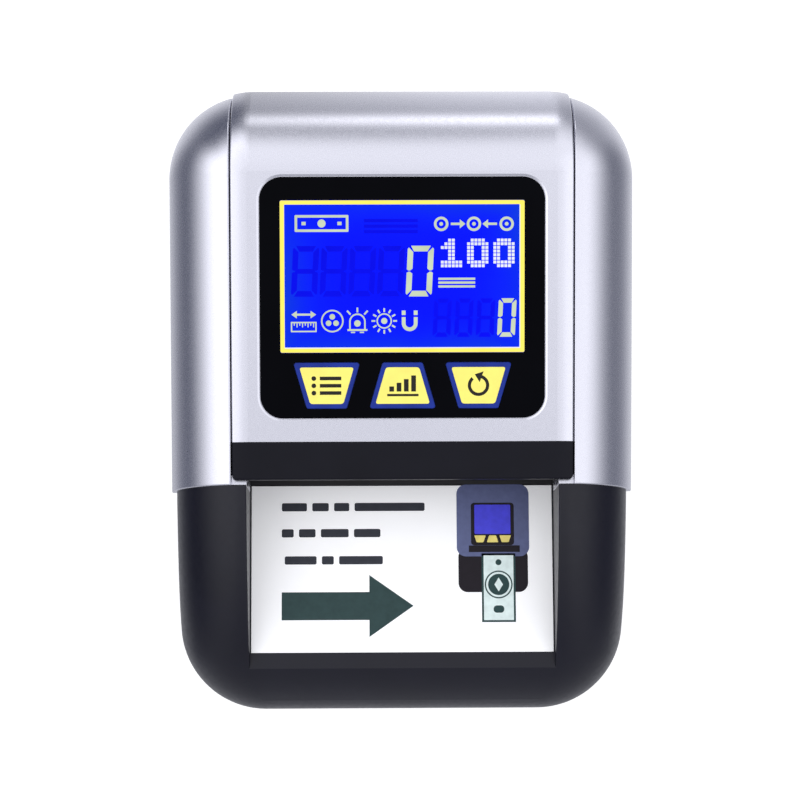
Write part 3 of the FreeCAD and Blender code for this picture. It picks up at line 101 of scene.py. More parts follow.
class Look:
    """A Principled material with helpers for procedural detail in object space."""

    def __init__(self, name, color, roughness, metallic=0.0, **sockets):
        self.material = bpy.data.materials.new(name)
        self.material.use_nodes = True
        self.nodes = self.material.node_tree.nodes
        self.links = self.material.node_tree.links
        self.shader = self.nodes["Principled BSDF"]
        self.shader.inputs["Base Color"].default_value = (*color, 1.0)
        self.shader.inputs["Roughness"].default_value = roughness
        self.shader.inputs["Metallic"].default_value = metallic
        for socket, value in sockets.items():
            self.shader.inputs[socket.replace("_", " ")].default_value = value
        self.color, self.roughness = color, roughness
        self.normal = None
        self.place = self.nodes.new("ShaderNodeTexCoord").outputs["Object"]

    def noise(self, scale, detail=2.0, stretch=None):
        node = self.nodes.new("ShaderNodeTexNoise")
        node.inputs["Scale"].default_value = scale
        node.inputs["Detail"].default_value = detail
        source = self.place
        if stretch:
            mapping = self.nodes.new("ShaderNodeMapping")
            mapping.inputs["Scale"].default_value = stretch
            self.links.new(source, mapping.inputs["Vector"])
            source = mapping.outputs["Vector"]
        self.links.new(source, node.inputs["Vector"])
        return node.outputs["Fac"]

    def ramp(self, value, low, high, out_low, out_high):
        node = self.nodes.new("ShaderNodeMapRange")
        sizes = (low, high, out_low, out_high)
        for socket, number in zip(("From Min", "From Max", "To Min", "To Max"), sizes):
            node.inputs[socket].default_value = number
        self.links.new(value, node.inputs["Value"])
        return node.outputs["Result"]

    def math(self, operation, a, b=None):
        node = self.nodes.new("ShaderNodeMath")
        node.operation = operation
        for socket, value in zip(node.inputs, (a, b)):
            if isinstance(value, (int, float)):
                socket.default_value = value
            elif value is not None:
                self.links.new(value, socket)
        return node.outputs["Value"]

    def axis(self, name):
        node = self.nodes.new("ShaderNodeSeparateXYZ")
        self.links.new(self.place, node.inputs["Vector"])
        return node.outputs[name]

    def blend(self, factor, first, second, socket="Base Color"):
        """Mixes two colours by a factor into a shader socket."""
        node = self.nodes.new("ShaderNodeMix")
        node.data_type = "RGBA"
        self.links.new(factor, node.inputs["Factor"])
        for color, index in zip((first, second), MIX_COLORS_IN):
            node.inputs[index].default_value = (*color, 1.0)
        self.links.new(node.outputs[MIX_COLOR_OUT], self.shader.inputs[socket])

    def mottle(self, scale, amount, detail=3.0, stretch=None):
        """Small colour variation about the base colour."""
        darker = tuple(c * (1.0 - amount) for c in self.color)
        lighter = tuple(min(1.0, c * (1.0 + amount)) for c in self.color)
        self.blend(self.ramp(self.noise(scale, detail, stretch), 0.3, 0.7, 0.0, 1.0), darker, lighter)

    def vary_roughness(self, scale, amount, stretch=None):
        smoother, rougher = self.roughness - amount, self.roughness + amount
        value = self.ramp(self.noise(scale, 3.0, stretch), 0.3, 0.7, smoother, rougher)
        self.links.new(value, self.shader.inputs["Roughness"])

    def bump(self, height, strength, distance):
        node = self.nodes.new("ShaderNodeBump")
        node.inputs["Strength"].default_value = strength
        node.inputs["Distance"].default_value = distance
        self.links.new(height, node.inputs["Height"])
        if self.normal is not None:
            self.links.new(self.normal, node.inputs["Normal"])
        self.normal = node.outputs["Normal"]
        self.links.new(self.normal, self.shader.inputs["Normal"])


def silver_paint():
    look = Look("silver_paint", (0.66, 0.66, 0.73), 0.27, 0.95)
    flakes = look.ramp(look.noise(5200.0, 2.0), 0.3, 0.7, 0.0, 1.0)
    look.blend(flakes, (0.648, 0.648, 0.716), (0.672, 0.672, 0.744))
    look.vary_roughness(900.0, 0.02)
    look.bump(look.noise(3800.0, 2.0), 0.015, 0.00003)
    look.bump(look.noise(420.0, 2.0), 0.008, 0.0001)
    return look.material


def moulded(name, color, roughness, texture=2600.0, strength=0.22, specular=0.5):
    """Moulded plastic with a fine spark-eroded texture and slight colour drift."""
    look = Look(name, color, roughness, Specular_IOR_Level=specular)
    look.mottle(60.0, 0.12)
    look.vary_roughness(700.0, 0.04)
    look.bump(look.noise(texture, 3.0), strength, 0.00006)
    return look.material


def panel_gloss():
    look = Look("panel_gloss", (0.0014, 0.0015, 0.0026), 0.12, Specular_IOR_Level=0.03)
    look.mottle(40.0, 0.2)
    look.vary_roughness(250.0, 0.03)
    look.bump(look.noise(120.0, 2.0), 0.02, 0.0001)
    return look.material


def label_film():
    look = Look("label_film", (0.93, 0.93, 0.94), 0.34, 0.0, Coat_Weight=0.1, Coat_Roughness=0.2)
    look.mottle(240.0, 0.012)
    look.bump(look.noise(1500.0, 3.0), 0.06, 0.00005)
    # The weak white emission is painted light: the label glows a little to stay bright where the arms and the
    # chin shade the tray.
    look.shader.inputs["Emission Color"].default_value = (1.0, 1.0, 1.0, 1.0)
    look.shader.inputs["Emission Strength"].default_value = 0.16
    return look.material


def display_blue():
    """Lit blue field, a little lighter towards its rim, under a clear gloss."""
    low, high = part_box("display_lens")
    centre, half = (low + high) / 2, (high - low) / 2
    look = Look("display_blue", (0.0, 0.001, 0.12), 0.1, Specular_IOR_Level=0.05)
    from_centre = []
    for axis in ("X", "Y"):
        offset = look.math("SUBTRACT", look.axis(axis), getattr(centre, axis.lower()))
        share = look.math("DIVIDE", offset, getattr(half, axis.lower()))
        from_centre.append(look.math("ABSOLUTE", share))
    rim = look.math("POWER", look.math("MAXIMUM", *from_centre), 5.0)
    patchy = look.math("MULTIPLY", rim, look.ramp(look.noise(45.0, 2.0), 0.35, 0.65, 0.5, 1.0))
    look.blend(patchy, (0.0005, 0.0045, 0.93), (0.003, 0.05, 0.56), "Emission Color")
    look.shader.inputs["Emission Strength"].default_value = 1.0
    look.bump(look.noise(90.0, 2.0), 0.01, 0.0001)
    return look.material


def ghost_blue(name, level):
    """An unlit segment, a little darker than the field about it."""
    look = Look(name, (0.0, 0.001, 0.1), 0.3, Specular_IOR_Level=0.05)
    patchy = look.ramp(look.noise(120.0), 0.3, 0.7, 0.0, 1.0)
    look.blend(patchy, (0.0, 0.001, level), (0.0, 0.0012, level + 0.08), "Emission Color")
    look.shader.inputs["Emission Strength"].default_value = 1.0
    return look.material


def lit(name, dim, bright):
    """A lit or backlit segment, very slightly uneven."""
    look = Look(name, tuple(0.08 * c for c in bright), 0.3, Specular_IOR_Level=0.1)
    look.blend(look.ramp(look.noise(160.0), 0.3, 0.7, 0.0, 1.0), dim, bright, "Emission Color")
    look.shader.inputs["Emission Strength"].default_value = 0.85
    return look.material


def ink(name, color):
    look = Look(name, color, 0.45, Specular_IOR_Level=0.15)
    look.mottle(500.0, 0.08)
    look.bump(look.noise(2200.0), 0.05, 0.00004)
    return look.material


def key_blue():
    look = Look("key_blue", (0.008, 0.028, 0.27), 0.3, Specular_IOR_Level=0.2)
    look.mottle(180.0, 0.15)
    look.bump(look.noise(900.0), 0.05, 0.00005)
    return look.material


def key_yellow():
    look = Look("key_yellow", (1.0, 0.88, 0.17), 0.4)
    look.mottle(260.0, 0.04)
    look.bump(look.noise(1500.0), 0.06, 0.00004)
    return look.material


def rubber(name, color, roughness=0.75):
    look = Look(name, color, roughness)
    look.mottle(300.0, 0.2)
    look.bump(look.noise(1800.0, 4.0), 0.35, 0.0001)
    return look.material


def brushed(name, color, roughness=0.32):
    """Metal with fine drawing lines along X."""
    stretch = (60.0, 2500.0, 2500.0)
    look = Look(name, color, roughness, 1.0)
    look.mottle(1.0, 0.08, 3.0, stretch)
    look.vary_roughness(1.0, 0.07, stretch)
    look.bump(look.noise(1.0, 2.0, stretch), 0.08, 0.00004)
    return look.material


def circuit_board():
    """Green solder mask with faint copper tracks under it."""
    look = Look("circuit_board", (0.01, 0.10, 0.035), 0.35)
    tracks = look.nodes.new("ShaderNodeTexBrick")
    tracks.inputs["Scale"].default_value = 260.0
    tracks.inputs["Mortar Size"].default_value = 0.06
    look.links.new(look.place, tracks.inputs["Vector"])
    look.blend(tracks.outputs["Fac"], (0.008, 0.085, 0.03), (0.02, 0.17, 0.06))
    look.bump(tracks.outputs["Fac"], 0.2, 0.00003)
    return look.material


def dark_window():
    look = Look("sensor_window", (0.012, 0.006, 0.012), 0.08, 0.0, Coat_Weight=0.5, Coat_Roughness=0.03)
    look.mottle(90.0, 0.2)
    look.vary_roughness(300.0, 0.02)
    return look.material


def cell_wrap():
    look = Look("cell_wrap", (0.02, 0.09, 0.32), 0.3, 0.0, Coat_Weight=0.3)
    look.mottle(120.0, 0.15)
    look.bump(look.noise(350.0, 3.0), 0.15, 0.0002)
    return look.material


SILVER = silver_paint()
BASE_BLACK = moulded("base_black", (0.005, 0.005, 0.0115), 0.33, strength=0.14, specular=0.3)
CHIN_BLACK = moulded("chin_black", (0.0065, 0.0065, 0.011), 0.42, 3200.0, 0.12, 0.12)
GUIDE_BLACK = moulded("guide_black", (0.014, 0.014, 0.016), 0.45)
SOCKET_BLACK = moulded("socket_black", (0.012, 0.012, 0.013), 0.35, 2000.0, 0.1)
NYLON = moulded("natural_nylon", (0.78, 0.76, 0.68), 0.42, 1500.0, 0.1)
WHITE_PLASTIC = moulded("white_plastic", (0.82, 0.83, 0.82), 0.4, 1500.0, 0.08)
PANEL = panel_gloss()
LABEL = label_film()
BLUE = display_blue()
GHOST = ghost_blue("ghost_blue", 0.70)
FAINT_GHOST = ghost_blue("faint_ghost_blue", 0.79)
SEGMENT = lit("lit_segment", (0.60, 0.68, 0.50), (0.70, 0.80, 0.60))
FRAME_YELLOW = lit("frame_yellow", (1.15, 0.97, 0.14), (1.18, 1.02, 0.18))
FRAME_WHITE = lit("frame_white", (0.85, 0.88, 0.95), (0.98, 1.0, 1.05))
KEY_BLUE = key_blue()
KEY_YELLOW = key_yellow()
KEY_INK = ink("key_ink", (0.02, 0.018, 0.015))
LABEL_INK = ink("label_ink", (0.035, 0.038, 0.05))
ARROW_INK = ink("arrow_ink", (0.03, 0.06, 0.06))
RUBBER = rubber("foot_rubber", (0.02, 0.02, 0.02))
ROLLER = rubber("roller_rubber", (0.06, 0.06, 0.065), 0.65)
STEEL = brushed("zinc_steel", (0.62, 0.62, 0.64))
BRASS = brushed("brass", (0.72, 0.5, 0.2), 0.28)
BOARD = circuit_board()
WINDOW = dark_window()
GLASS = moulded("cell_glass", (0.1, 0.12, 0.3), 0.1, 900.0, 0.02)
WRAP = cell_wrap()

SLOT_LOOKS = {
    "silver_paint": SILVER,
    "black_plastic": BASE_BLACK,
    "chin_plastic": CHIN_BLACK,
    "label_film": LABEL,
    "panel_gloss": PANEL,
    "key_plastic": KEY_BLUE,
    "display_window": BLUE,
    "lcd_glass": GLASS,
    "white_plastic": WHITE_PLASTIC,
    "circuit_board": BOARD,
    "socket_plastic": SOCKET_BLACK,
    "sensor_window": WINDOW,
    "foot_rubber": RUBBER,
    "roller_rubber": ROLLER,
    "steel": STEEL,
    "brass": BRASS,
    "gear_plastic": NYLON,
    "cell_wrap": WRAP,
}


def dress_cad_nodes():
    for row in frame["record"]["subparts"]:
        mesh = NODES[row["node"]].data
        mesh.materials.clear()
        mesh.materials.append(SLOT_LOOKS[row["material_slot"]])
    for name in ("lower_guide_plate", "upper_guide_plate"):
        NODES[name].data.materials[0] = GUIDE_BLACK


dress_cad_nodes()

# ---- flat shapes, in millimetres on a surface --------------------------------------------


def bar(x0, x1, y0, y1):
    return [(x0, y0), (x1, y0), (x1, y1), (x0, y1)]


def stroke(start, end, width):
    """A straight bar between two points."""
    a, b = Vector(start), Vector(end)
    side = (b - a).normalized().orthogonal() * (width / 2)
    return [tuple(a - side), tuple(b - side), tuple(b + side), tuple(a + side)]


def circle(x, y, r, count=40):
    turns = [2 * math.pi * i / count for i in range(count)]
    return [(x + r * math.cos(t), y + r * math.sin(t)) for t in turns]


def arc_band(x, y, r0, r1, start, end, count=24):
    """A band between two radii, from one angle in degrees to another."""
    turns = [math.radians(start + (end - start) * i / count) for i in range(count + 1)]
    outer = [(x + r1 * math.cos(t), y + r1 * math.sin(t)) for t in turns]
    inner = [(x + r0 * math.cos(t), y + r0 * math.sin(t)) for t in reversed(turns)]
    return outer + inner


def rounded(width, height, r, x=0.0, y=0.0, count=8):
    """A rectangle with round corners, centred on (x, y)."""
    points = []
    for cx, cy, start in ((1, 1, 0), (-1, 1, 90), (-1, -1, 180), (1, -1, 270)):
        for i in range(count + 1):
            t = math.radians(start + 90.0 * i / count)
            corner_x, corner_y = x + cx * (width / 2 - r), y + cy * (height / 2 - r)
            points.append((corner_x + r * math.cos(t), corner_y + r * math.sin(t)))
    return points


def moved(points, dx, dy):
    return [(x + dx, y + dy) for x, y in points]


def digit(x, y, width, height, weight, slant, which="abcdef"):
    """Seven-segment strokes with mitred ends. (x, y) is the lower left corner."""
    t, gap = weight, 0.11 * weight
    mid = height / 2
    top_bar = [
        (t * 0.45 + gap, height),
        (width - t * 0.45 - gap, height),
        (width - t - gap, height - t),
        (t + gap, height - t),
    ]
    side = [
        (0, height - t * 0.45 - gap),
        (t * 0.2, height - t * 0.2 - gap),
        (t, height - t - gap),
        (t, mid + t * 0.45),
        (t * 0.6, mid + gap),
        (t * 0.3, mid + gap),
        (0, mid + t * 0.3),
    ]
    middle = [
        (t * 0.5, mid),
        (t * 0.9, mid + t * 0.42),
        (width - t * 0.9, mid + t * 0.42),
        (width - t * 0.5, mid),
        (width - t * 0.9, mid - t * 0.42),
        (t * 0.9, mid - t * 0.42),
    ]

    def flip_x(points):
        return [(width - a, b) for a, b in points]

    def flip_y(points):
        return [(a, height - b) for a, b in points]

    shapes = {"a": top_bar, "b": flip_x(side), "c": flip_y(flip_x(side)), "d": flip_y(top_bar)}
    shapes.update({"e": flip_y(side), "f": side, "g": middle})
    return [[(x + a + slant * b, y + b) for a, b in shapes[k]] for k in which]


def dot_glyph(rows, x, y):
    """Square dots for one character. (x, y) is its upper left corner."""
    dots = []
    for j, row in enumerate(rows):
        for i, mark in enumerate(row):
            if mark == "X":
                x0, y1 = x + i * DOT_PITCH, y - j * DOT_PITCH
                dots.append(bar(x0, x0 + DOT_SIZE, y1 - DOT_SIZE, y1))
    return dots


# ---- thin solids on a surface ------------------------------------------------------------


class Sheet:
    """A flat surface: an origin, a right and an up direction, and the normal."""

    def __init__(self, origin, right, up):
        self.origin, self.right, self.up = origin, right.normalized(), up.normalized()
        self.normal = self.right.cross(self.up)

    def point(self, x, y, height):
        return self.origin + (self.right * x + self.up * y + self.normal * height) * MM


def signed_area(points):
    return sum(a[0] * b[1] - b[0] * a[1] for a, b in zip(points, points[1:] + points[:1])) / 2


def add_prism(mesh, sheet, outline, low, high):
    outline = outline if signed_area(outline) > 0 else list(reversed(outline))
    bottom = [mesh.verts.new(sheet.point(x, y, low)) for x, y in outline]
    top = [mesh.verts.new(sheet.point(x, y, high)) for x, y in outline]
    mesh.faces.new(top)
    mesh.faces.new(list(reversed(bottom)))
    for i in range(len(top)):
        j = (i + 1) % len(top)
        mesh.faces.new((bottom[i], bottom[j], top[j], top[i]))


def add_ring(mesh, sheet, outer, inner, low, high):
    """A closed band between two outlines that have the same number of points."""
    rows = []
    for outline, height in ((outer, low), (outer, high), (inner, high), (inner, low)):
        rows.append([mesh.verts.new(sheet.point(x, y, height)) for x, y in outline])
    for a, b in zip(rows, rows[1:] + rows[:1]):
        for i in range(len(a)):
            j = (i + 1) % len(a)
            mesh.faces.new((a[i], a[j], b[j], b[i]))


def applied(name, sheet, material, body, slot, prisms=(), rings=(), thickness=PRINT_T, sink=PRINT_SINK):
    """One piece made of thin solids that lie on a surface and ride on a body."""
    mesh = bmesh.new()
    for outline in prisms:
        add_prism(mesh, sheet, outline, -sink, thickness)
    for outer, inner in rings:
        add_ring(mesh, sheet, outer, inner, -sink, thickness)
    bmesh.ops.recalc_face_normals(mesh, faces=mesh.faces)
    data = bpy.data.meshes.new(name)
    mesh.to_mesh(data)
    mesh.free()
    data.materials.append(material)
    piece = bpy.data.objects.new(name, data)
    bpy.context.scene.collection.objects.link(piece)
    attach(piece, body)
    return piece


UP_SLOPE = Vector((0.0, math.cos(FACE_SLOPE), math.sin(FACE_SLOPE)))
FACE_NORMAL = Vector((0.0, -math.sin(FACE_SLOPE), math.cos(FACE_SLOPE)))
RIGHT = Vector((1.0, 0.0, 0.0))


def top_of(node, normal, depth=0.1):
    """Centre of a node's outermost flat face along a normal, from its vertices."""
    points = [v.co for v in NODES[node].data.vertices]
    reach = max(p.dot(normal) for p in points)
    top = [p for p in points if p.dot(normal) > reach - depth * MM]
    low = Vector(map(min, zip(*top)))
    high = Vector(map(max, zip(*top)))
    middle = (low + high) / 2
    return middle + normal * (reach - middle.dot(normal))


# ---- the lit display ---------------------------------------------------------------------


def icon_ruler(x, y):
    """A ruler with a measuring arrow above it, 7.5 mm wide."""
    w, h = 7.5, 3.0
    ring = (rounded(w, h, 0.1, x, y), rounded(w - 0.8, h - 0.8, 0.05, x, y))
    ticks = []
    for i in range(8):
        tick_x, tick_h = x - 2.9 + 0.8 * i, 1.1 + 0.5 * (i % 2)
        ticks.append(bar(tick_x, tick_x + 0.3, y + h / 2 - tick_h, y + h / 2))
    level = y + 3.6
    arrow = [stroke((x - 2.2, level), (x + 2.2, level), 0.6)]
    arrow += [[(x + s * 3.6, level), (x + s * 2.0, level + 1.1), (x + s * 2.0, level - 1.1)] for s in (1, -1)]
    return ticks + arrow, [ring]


def icon_colours(x, y):
    """Three dots in a ring."""
    ring = (circle(x, y, 3.3), circle(x, y, 2.85))
    turns = [2 * math.pi * i / 3 for i in range(3)]
    dots = [circle(x + 1.25 * math.sin(t), y + 1.25 * math.cos(t), 0.82, 20) for t in turns]
    return dots, [ring]


def icon_lamp(x, y):
    """A lamp dome on a base, with three rays."""
    dome = arc_band(x, y + 0.2, 1.95, 2.4, 0, 180)
    legs = [bar(x + s * 2.175 - 0.225, x + s * 2.175 + 0.225, y - 2.0, y + 0.2) for s in (1, -1)]
    foot = [bar(x - 2.9, x + 2.9, y - 2.5, y - 1.95)]
    foot += [bar(x + s * 1.3 - 0.6, x + s * 1.3 + 0.6, y - 3.1, y - 2.7) for s in (-1, 1)]
    rays = [stroke((x, y + 2.9), (x, y + 4.3), 0.5)]
    rays += [stroke((x + s * 2.0, y + 2.3), (x + s * 3.0, y + 3.4), 0.5) for s in (1, -1)]
    core = [circle(x, y - 0.3, 0.95, 24)]
    return [dome] + legs + foot + rays + core, []


def icon_sun(x, y):
    """A ring with a dot in it and twelve rays about it."""
    ring = (circle(x, y, 2.25), circle(x, y, 1.85))
    starts, ends = circle(x, y, 2.6, 12), circle(x, y, 3.7, 12)
    rays = [stroke(start, end, 0.5) for start, end in zip(starts, ends)]
    return rays + [circle(x, y, 0.9, 24)], [ring]


def icon_magnet(x, y):
    """A horseshoe magnet with its tips set apart."""
    bend = arc_band(x, y - 0.8, 1.2, 2.3, 180, 360)
    legs = [bar(x + s * 1.75 - 0.55, x + s * 1.75 + 0.55, y - 0.8, y + 1.0) for s in (1, -1)]
    tips = [bar(x + s * 1.75 - 0.55, x + s * 1.75 + 0.55, y + 1.6, y + 2.9) for s in (1, -1)]
    return [bend] + legs + tips, []


def icon_note(x, y, width, height):
    """A plain banknote outline with a solid middle and corner marks."""
    ring = (rounded(width, height, 0.3, x, y), rounded(width - 1.5, height - 1.5, 0.1, x, y))
    mark_xs = [x + s * (width / 2 - 2.6) for s in (1, -1)]
    marks = [bar(mark_x - 0.6, mark_x + 0.6, y - 0.5, y + 0.5) for mark_x in mark_xs]
    return [circle(x, y, height * 0.24, 24)] + marks, [ring]


def icon_stack(x, y, width, height):
    """Three bars that stand for a stack of notes."""
    step = height / 3
    levels = [y - height / 2 + step * i for i in range(3)]
    return [bar(x - width / 2, x + width / 2, level, level + 0.6 * step) for level in levels], []


def icon_coins(x, y, width, height):
    """A row of coins with arrows between them, for changing the kind of money."""
    r = height / 2
    spots = [x - width / 2 + r, x, x + width / 2 - r]
    rings = [(circle(cx, y, r), circle(cx, y, r - 0.75)) for cx in spots]
    prisms = [circle(cx, y, 0.55, 16) for cx in spots]
    for a, b, s in ((spots[0], spots[1], 1), (spots[1], spots[2], -1)):
        middle, half = (a + b) / 2, (b - a) / 2 - r - 0.7
        prisms.append(stroke((middle - half, y), (middle + half, y), 0.7))
        tip = middle + s * (half + 0.3)
        prisms.append([(tip, y), (tip - s * 1.6, y + 1.3), (tip - s * 1.6, y - 1.3)])
    return prisms, rings


def add_display():
    sheet = Sheet(top_of("display_lens", FACE_NORMAL), RIGHT, UP_SLOPE)
    window = "display_window"
    out = rounded(*LIT_FRAME_OUT, 0.5)
    inner = rounded(*LIT_FRAME_IN, 0.3)
    line = rounded(LIT_FRAME_IN[0] - WHITE_LINE, LIT_FRAME_IN[1] - WHITE_LINE, 0.2, -0.1, 0.15)
    applied("display_frame", sheet, FRAME_YELLOW, "cover", window, rings=[(out, inner)])
    applied("display_frame_line", sheet, FRAME_WHITE, "cover", window, rings=[(inner, line)])

    ghosts = []
    for k in range(4):
        ghosts += digit(-32.4 + BIG_PITCH * k, -5.8, **BIG_DIGIT, which="abcdefg")
    ghosts += icon_stack(-3.3, 14.9, 15.6, 4.8)[0]
    applied("display_ghosts", sheet, GHOST, "cover", window, prisms=ghosts, thickness=0.012)
    faint = []
    for k in range(3):
        faint += digit(8.7 + SMALL_PITCH * k, -17.6, **SMALL_DIGIT, which="abcdefg")
    applied("display_faint_ghosts", sheet, FAINT_GHOST, "cover", window, prisms=faint, thickness=0.012)

    digits = digit(0.9, -5.8, **BIG_DIGIT) + digit(27.5, -17.6, **SMALL_DIGIT)
    applied("display_digits", sheet, SEGMENT, "cover", window, prisms=digits)

    dots = []
    for k, rows in enumerate((DOT_ONE, DOT_ZERO, DOT_ZERO)):
        dots += dot_glyph(rows, 11.2 + DOT_GLYPH_PITCH * k, 10.9)
    applied("display_dot_figures", sheet, FRAME_WHITE, "cover", window, prisms=dots)

    icons = {
        "display_icon_ruler": icon_ruler(-28.7, -14.6),
        "display_icon_colours": icon_colours(-20.4, -12.9),
        "display_icon_lamp": icon_lamp(-13.1, -13.3),
        "display_icon_sun": icon_sun(-5.3, -12.9),
        "display_icon_magnet": icon_magnet(2.1, -12.8),
        "display_icon_note": icon_note(-23.4, 15.4, 15.6, 4.9),
        "display_icon_coins": icon_coins(20.8, 15.2, 23.2, 4.2),
        "display_icon_stack": icon_stack(15.8, -1.6, 10.7, 3.3),
    }
    for name, (prisms, rings) in icons.items():
        applied(name, sheet, SEGMENT, "cover", window, prisms=prisms, rings=rings)


# ---- keys --------------------------------------------------------------------------------


def key_outline(wide, narrow, length, wide_up, r=0.8, count=5):
    """A trapezoid with round corners, centred on the key."""
    top, bottom = (wide, narrow) if wide_up else (narrow, wide)
    rear, front = length / 2, -length / 2
    corners = [(top / 2, rear), (-top / 2, rear), (-bottom / 2, front), (bottom / 2, front)]
    points = []
    for i, corner in enumerate(corners):
        here, before, after = Vector(corner), Vector(corners[i - 1]), Vector(corners[(i + 1) % 4])
        a = here + (before - here).normalized() * r
        b = here + (after - here).normalized() * r
        for k in range(count + 1):
            t = k / count
            points.append(tuple(a * (1 - t) ** 2 + here * 2 * t * (1 - t) + b * t * t))
    return points


def icon_menu():
    """Three lines, each with a dot before it."""
    rows = [bar(-1.6, 3.4, y - 0.42, y + 0.42) for y in (1.7, 0.0, -1.7)]
    return rows + [circle(-3.0, y, 0.55, 16) for y in (1.7, 0.0, -1.7)]


def icon_bars():
    """A rising row of bars on a line."""
    bars = [bar(-3.1 + 1.7 * i, -2.0 + 1.7 * i, -1.4, -0.2 + 0.85 * i) for i in range(4)]
    return bars + [bar(-3.6, 3.7, -2.5, -1.95)]


def icon_restart():
    """An arrow that turns almost all the way round."""
    ring = arc_band(0, 0, 1.75, 2.5, -230, 70, 30)
    t = math.radians(70)
    tip = Vector((2.12 * math.cos(t), 2.12 * math.sin(t)))
    along = Vector((-math.sin(t), math.cos(t)))
    side = Vector((math.cos(t), math.sin(t)))
    head = [tuple(tip + along * 1.7), tuple(tip + side * 1.35), tuple(tip - side * 1.35)]
    return [ring, head]


def larger(shapes, factor):
    return [[(factor * x, factor * y) for x, y in points] for points in shapes]


def key_top(node, sheet, wide_up):
    """Width of the wide end, width of the narrow end and length of a key's top face."""
    offsets = [v.co - sheet.origin for v in NODES[node].data.vertices]
    top = [p for p in offsets if p.dot(FACE_NORMAL) > -0.02 * MM]
    rows = [(sheet.up.dot(p) / MM, abs(p.x) / MM) for p in top]
    length = max(s for s, _ in rows) * 2
    wide = max(w for _, w in rows) * 2
    narrow = max(w for s, w in rows if (s < 0) == wide_up and abs(s) > length * 0.4) * 2
    return wide, narrow, length


def add_keys():
    keys = (
        ("func_key", True, icon_menu()),
        ("total_key", False, icon_bars()),
        ("reset_key", True, icon_restart()),
    )
    for node, wide_up, icon in keys:
        sheet = Sheet(top_of(node, FACE_NORMAL, 0.02), RIGHT, UP_SLOPE)
        wide, narrow, length = (a - b for a, b in zip(key_top(node, sheet, wide_up), KEY_FACE_INSETS))
        face = key_outline(wide, narrow, length, wide_up)
        body = node + "_body"
        sizes = {"thickness": KEY_FACE_T, "sink": KEY_FACE_SINK}
        applied(node + "_face", sheet, KEY_YELLOW, body, "key_plastic", prisms=[face], **sizes)
        raised = Sheet(sheet.point(0, 0, KEY_FACE_T), RIGHT, UP_SLOPE)
        shapes = larger(icon, KEY_ICON_SCALE)
        applied(node + "_icon", raised, KEY_INK, body, "key_plastic", prisms=shapes, thickness=0.02)


# ---- the tray's label --------------------------------------------------------------------


def add_label():
    _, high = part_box("guide_label")

    def stuck(name, material, prisms=(), rings=(), layer=0):
        height = high.z + LABEL_LAYER_T * layer * MM
        level = Sheet(Vector((0.0, 0.0, height)), RIGHT, Vector((0.0, 1.0, 0.0)))
        sizes = {"thickness": LABEL_LAYER_T, "sink": LABEL_SINK}
        applied(name, level, material, "base", "label_film", prisms=prisms, rings=rings, **sizes)

    words = []
    lines = (
        (-36.3, -31.2, (7.6, 5.0, 4.6, 21.2)),
        (-36.3, -39.1, (3.6, 5.0, 8.4, 8.0)),
        (-35.4, -47.3, (9.6, 3.6, 13.2)),
    )
    for x, y, widths in lines:
        for width in widths:
            words.append(rounded(width, LABEL_BAR_H, 0.5, x + width / 2, y))
            x += width + 1.6
    stuck("label_lines", LABEL_INK, words)

    tail_x, neck_x, tip_x, middle = -36.3, -9.9, 3.4, -61.1
    arrow = [
        (tail_x, middle + 4.2),
        (neck_x, middle + 4.2),
        (neck_x, middle + 9.3),
        (tip_x, middle),
        (neck_x, middle - 9.3),
        (neck_x, middle - 4.2),
        (tail_x, middle - 4.2),
    ]
    stuck("label_arrow", ARROW_INK, [arrow])

    x = 27.5
    grey = ink("label_grey", (0.12, 0.14, 0.275))
    dark = ink("label_dark", (0.012, 0.009, 0.014))
    upper = rounded(21.9, 21.8, 2.8, x, -35.4)
    lower = rounded(21.0, 13.4, 2.8, x, -50.4)
    stuck("label_device_base", dark, [lower])
    stuck("label_device_top", grey, [upper], layer=1)
    stuck("label_device_screen", dark, [rounded(13.0, 12.9, 1.0, x - 0.1, -36.5)], layer=2)
    glow = ink("label_blue", (0.075, 0.07, 0.75))
    stuck("label_device_display", glow, [rounded(10.9, 8.9, 0.4, x - 0.1, -35.1)], layer=3)
    keys = [
        moved(key_outline(3.5, 2.1, 2.1, wide_up, 0.3), x - 0.1 + dx, -41.0)
        for dx, wide_up in ((-3.8, True), (0, False), (3.8, True))
    ]
    stuck("label_device_keys", ink("label_yellow", (0.88, 0.74, 0.22)), keys, layer=3)
    stuck("label_device_chin", dark, [bar(20.2, 35.6, -45.0, -43.0)], layer=2)

    note_x = 29.1
    pale = ink("note_pale", (0.74, 0.86, 0.84))
    green = ink("note_green", (0.025, 0.06, 0.06))
    stuck("label_note_edge", green, [bar(note_x - 5.1, note_x + 5.1, -66.1, -45.4)], layer=1)
    stuck("label_note_field", pale, [bar(note_x - 4.5, note_x + 4.5, -65.5, -46.0)], layer=2)
    rings = [(circle(note_x, -54.8, 4.2), circle(note_x, -54.8, 3.8))]
    spots = [circle(note_x, -54.8, 3.2), circle(note_x, -48.1, 0.9, 20)]
    spots.append(rounded(3.2, 2.2, 1.0, note_x, -62.2))
    stuck("label_note_marks", green, spots, rings, layer=3)
    diamond = [(note_x - 1.3, -54.8), (note_x, -56.9), (note_x + 1.3, -54.8), (note_x, -52.7)]
    stuck("label_note_diamond", pale, [diamond], layer=4)


add_display()
add_keys()
add_label()

# ---- switch marks ------------------------------------------------------------------------


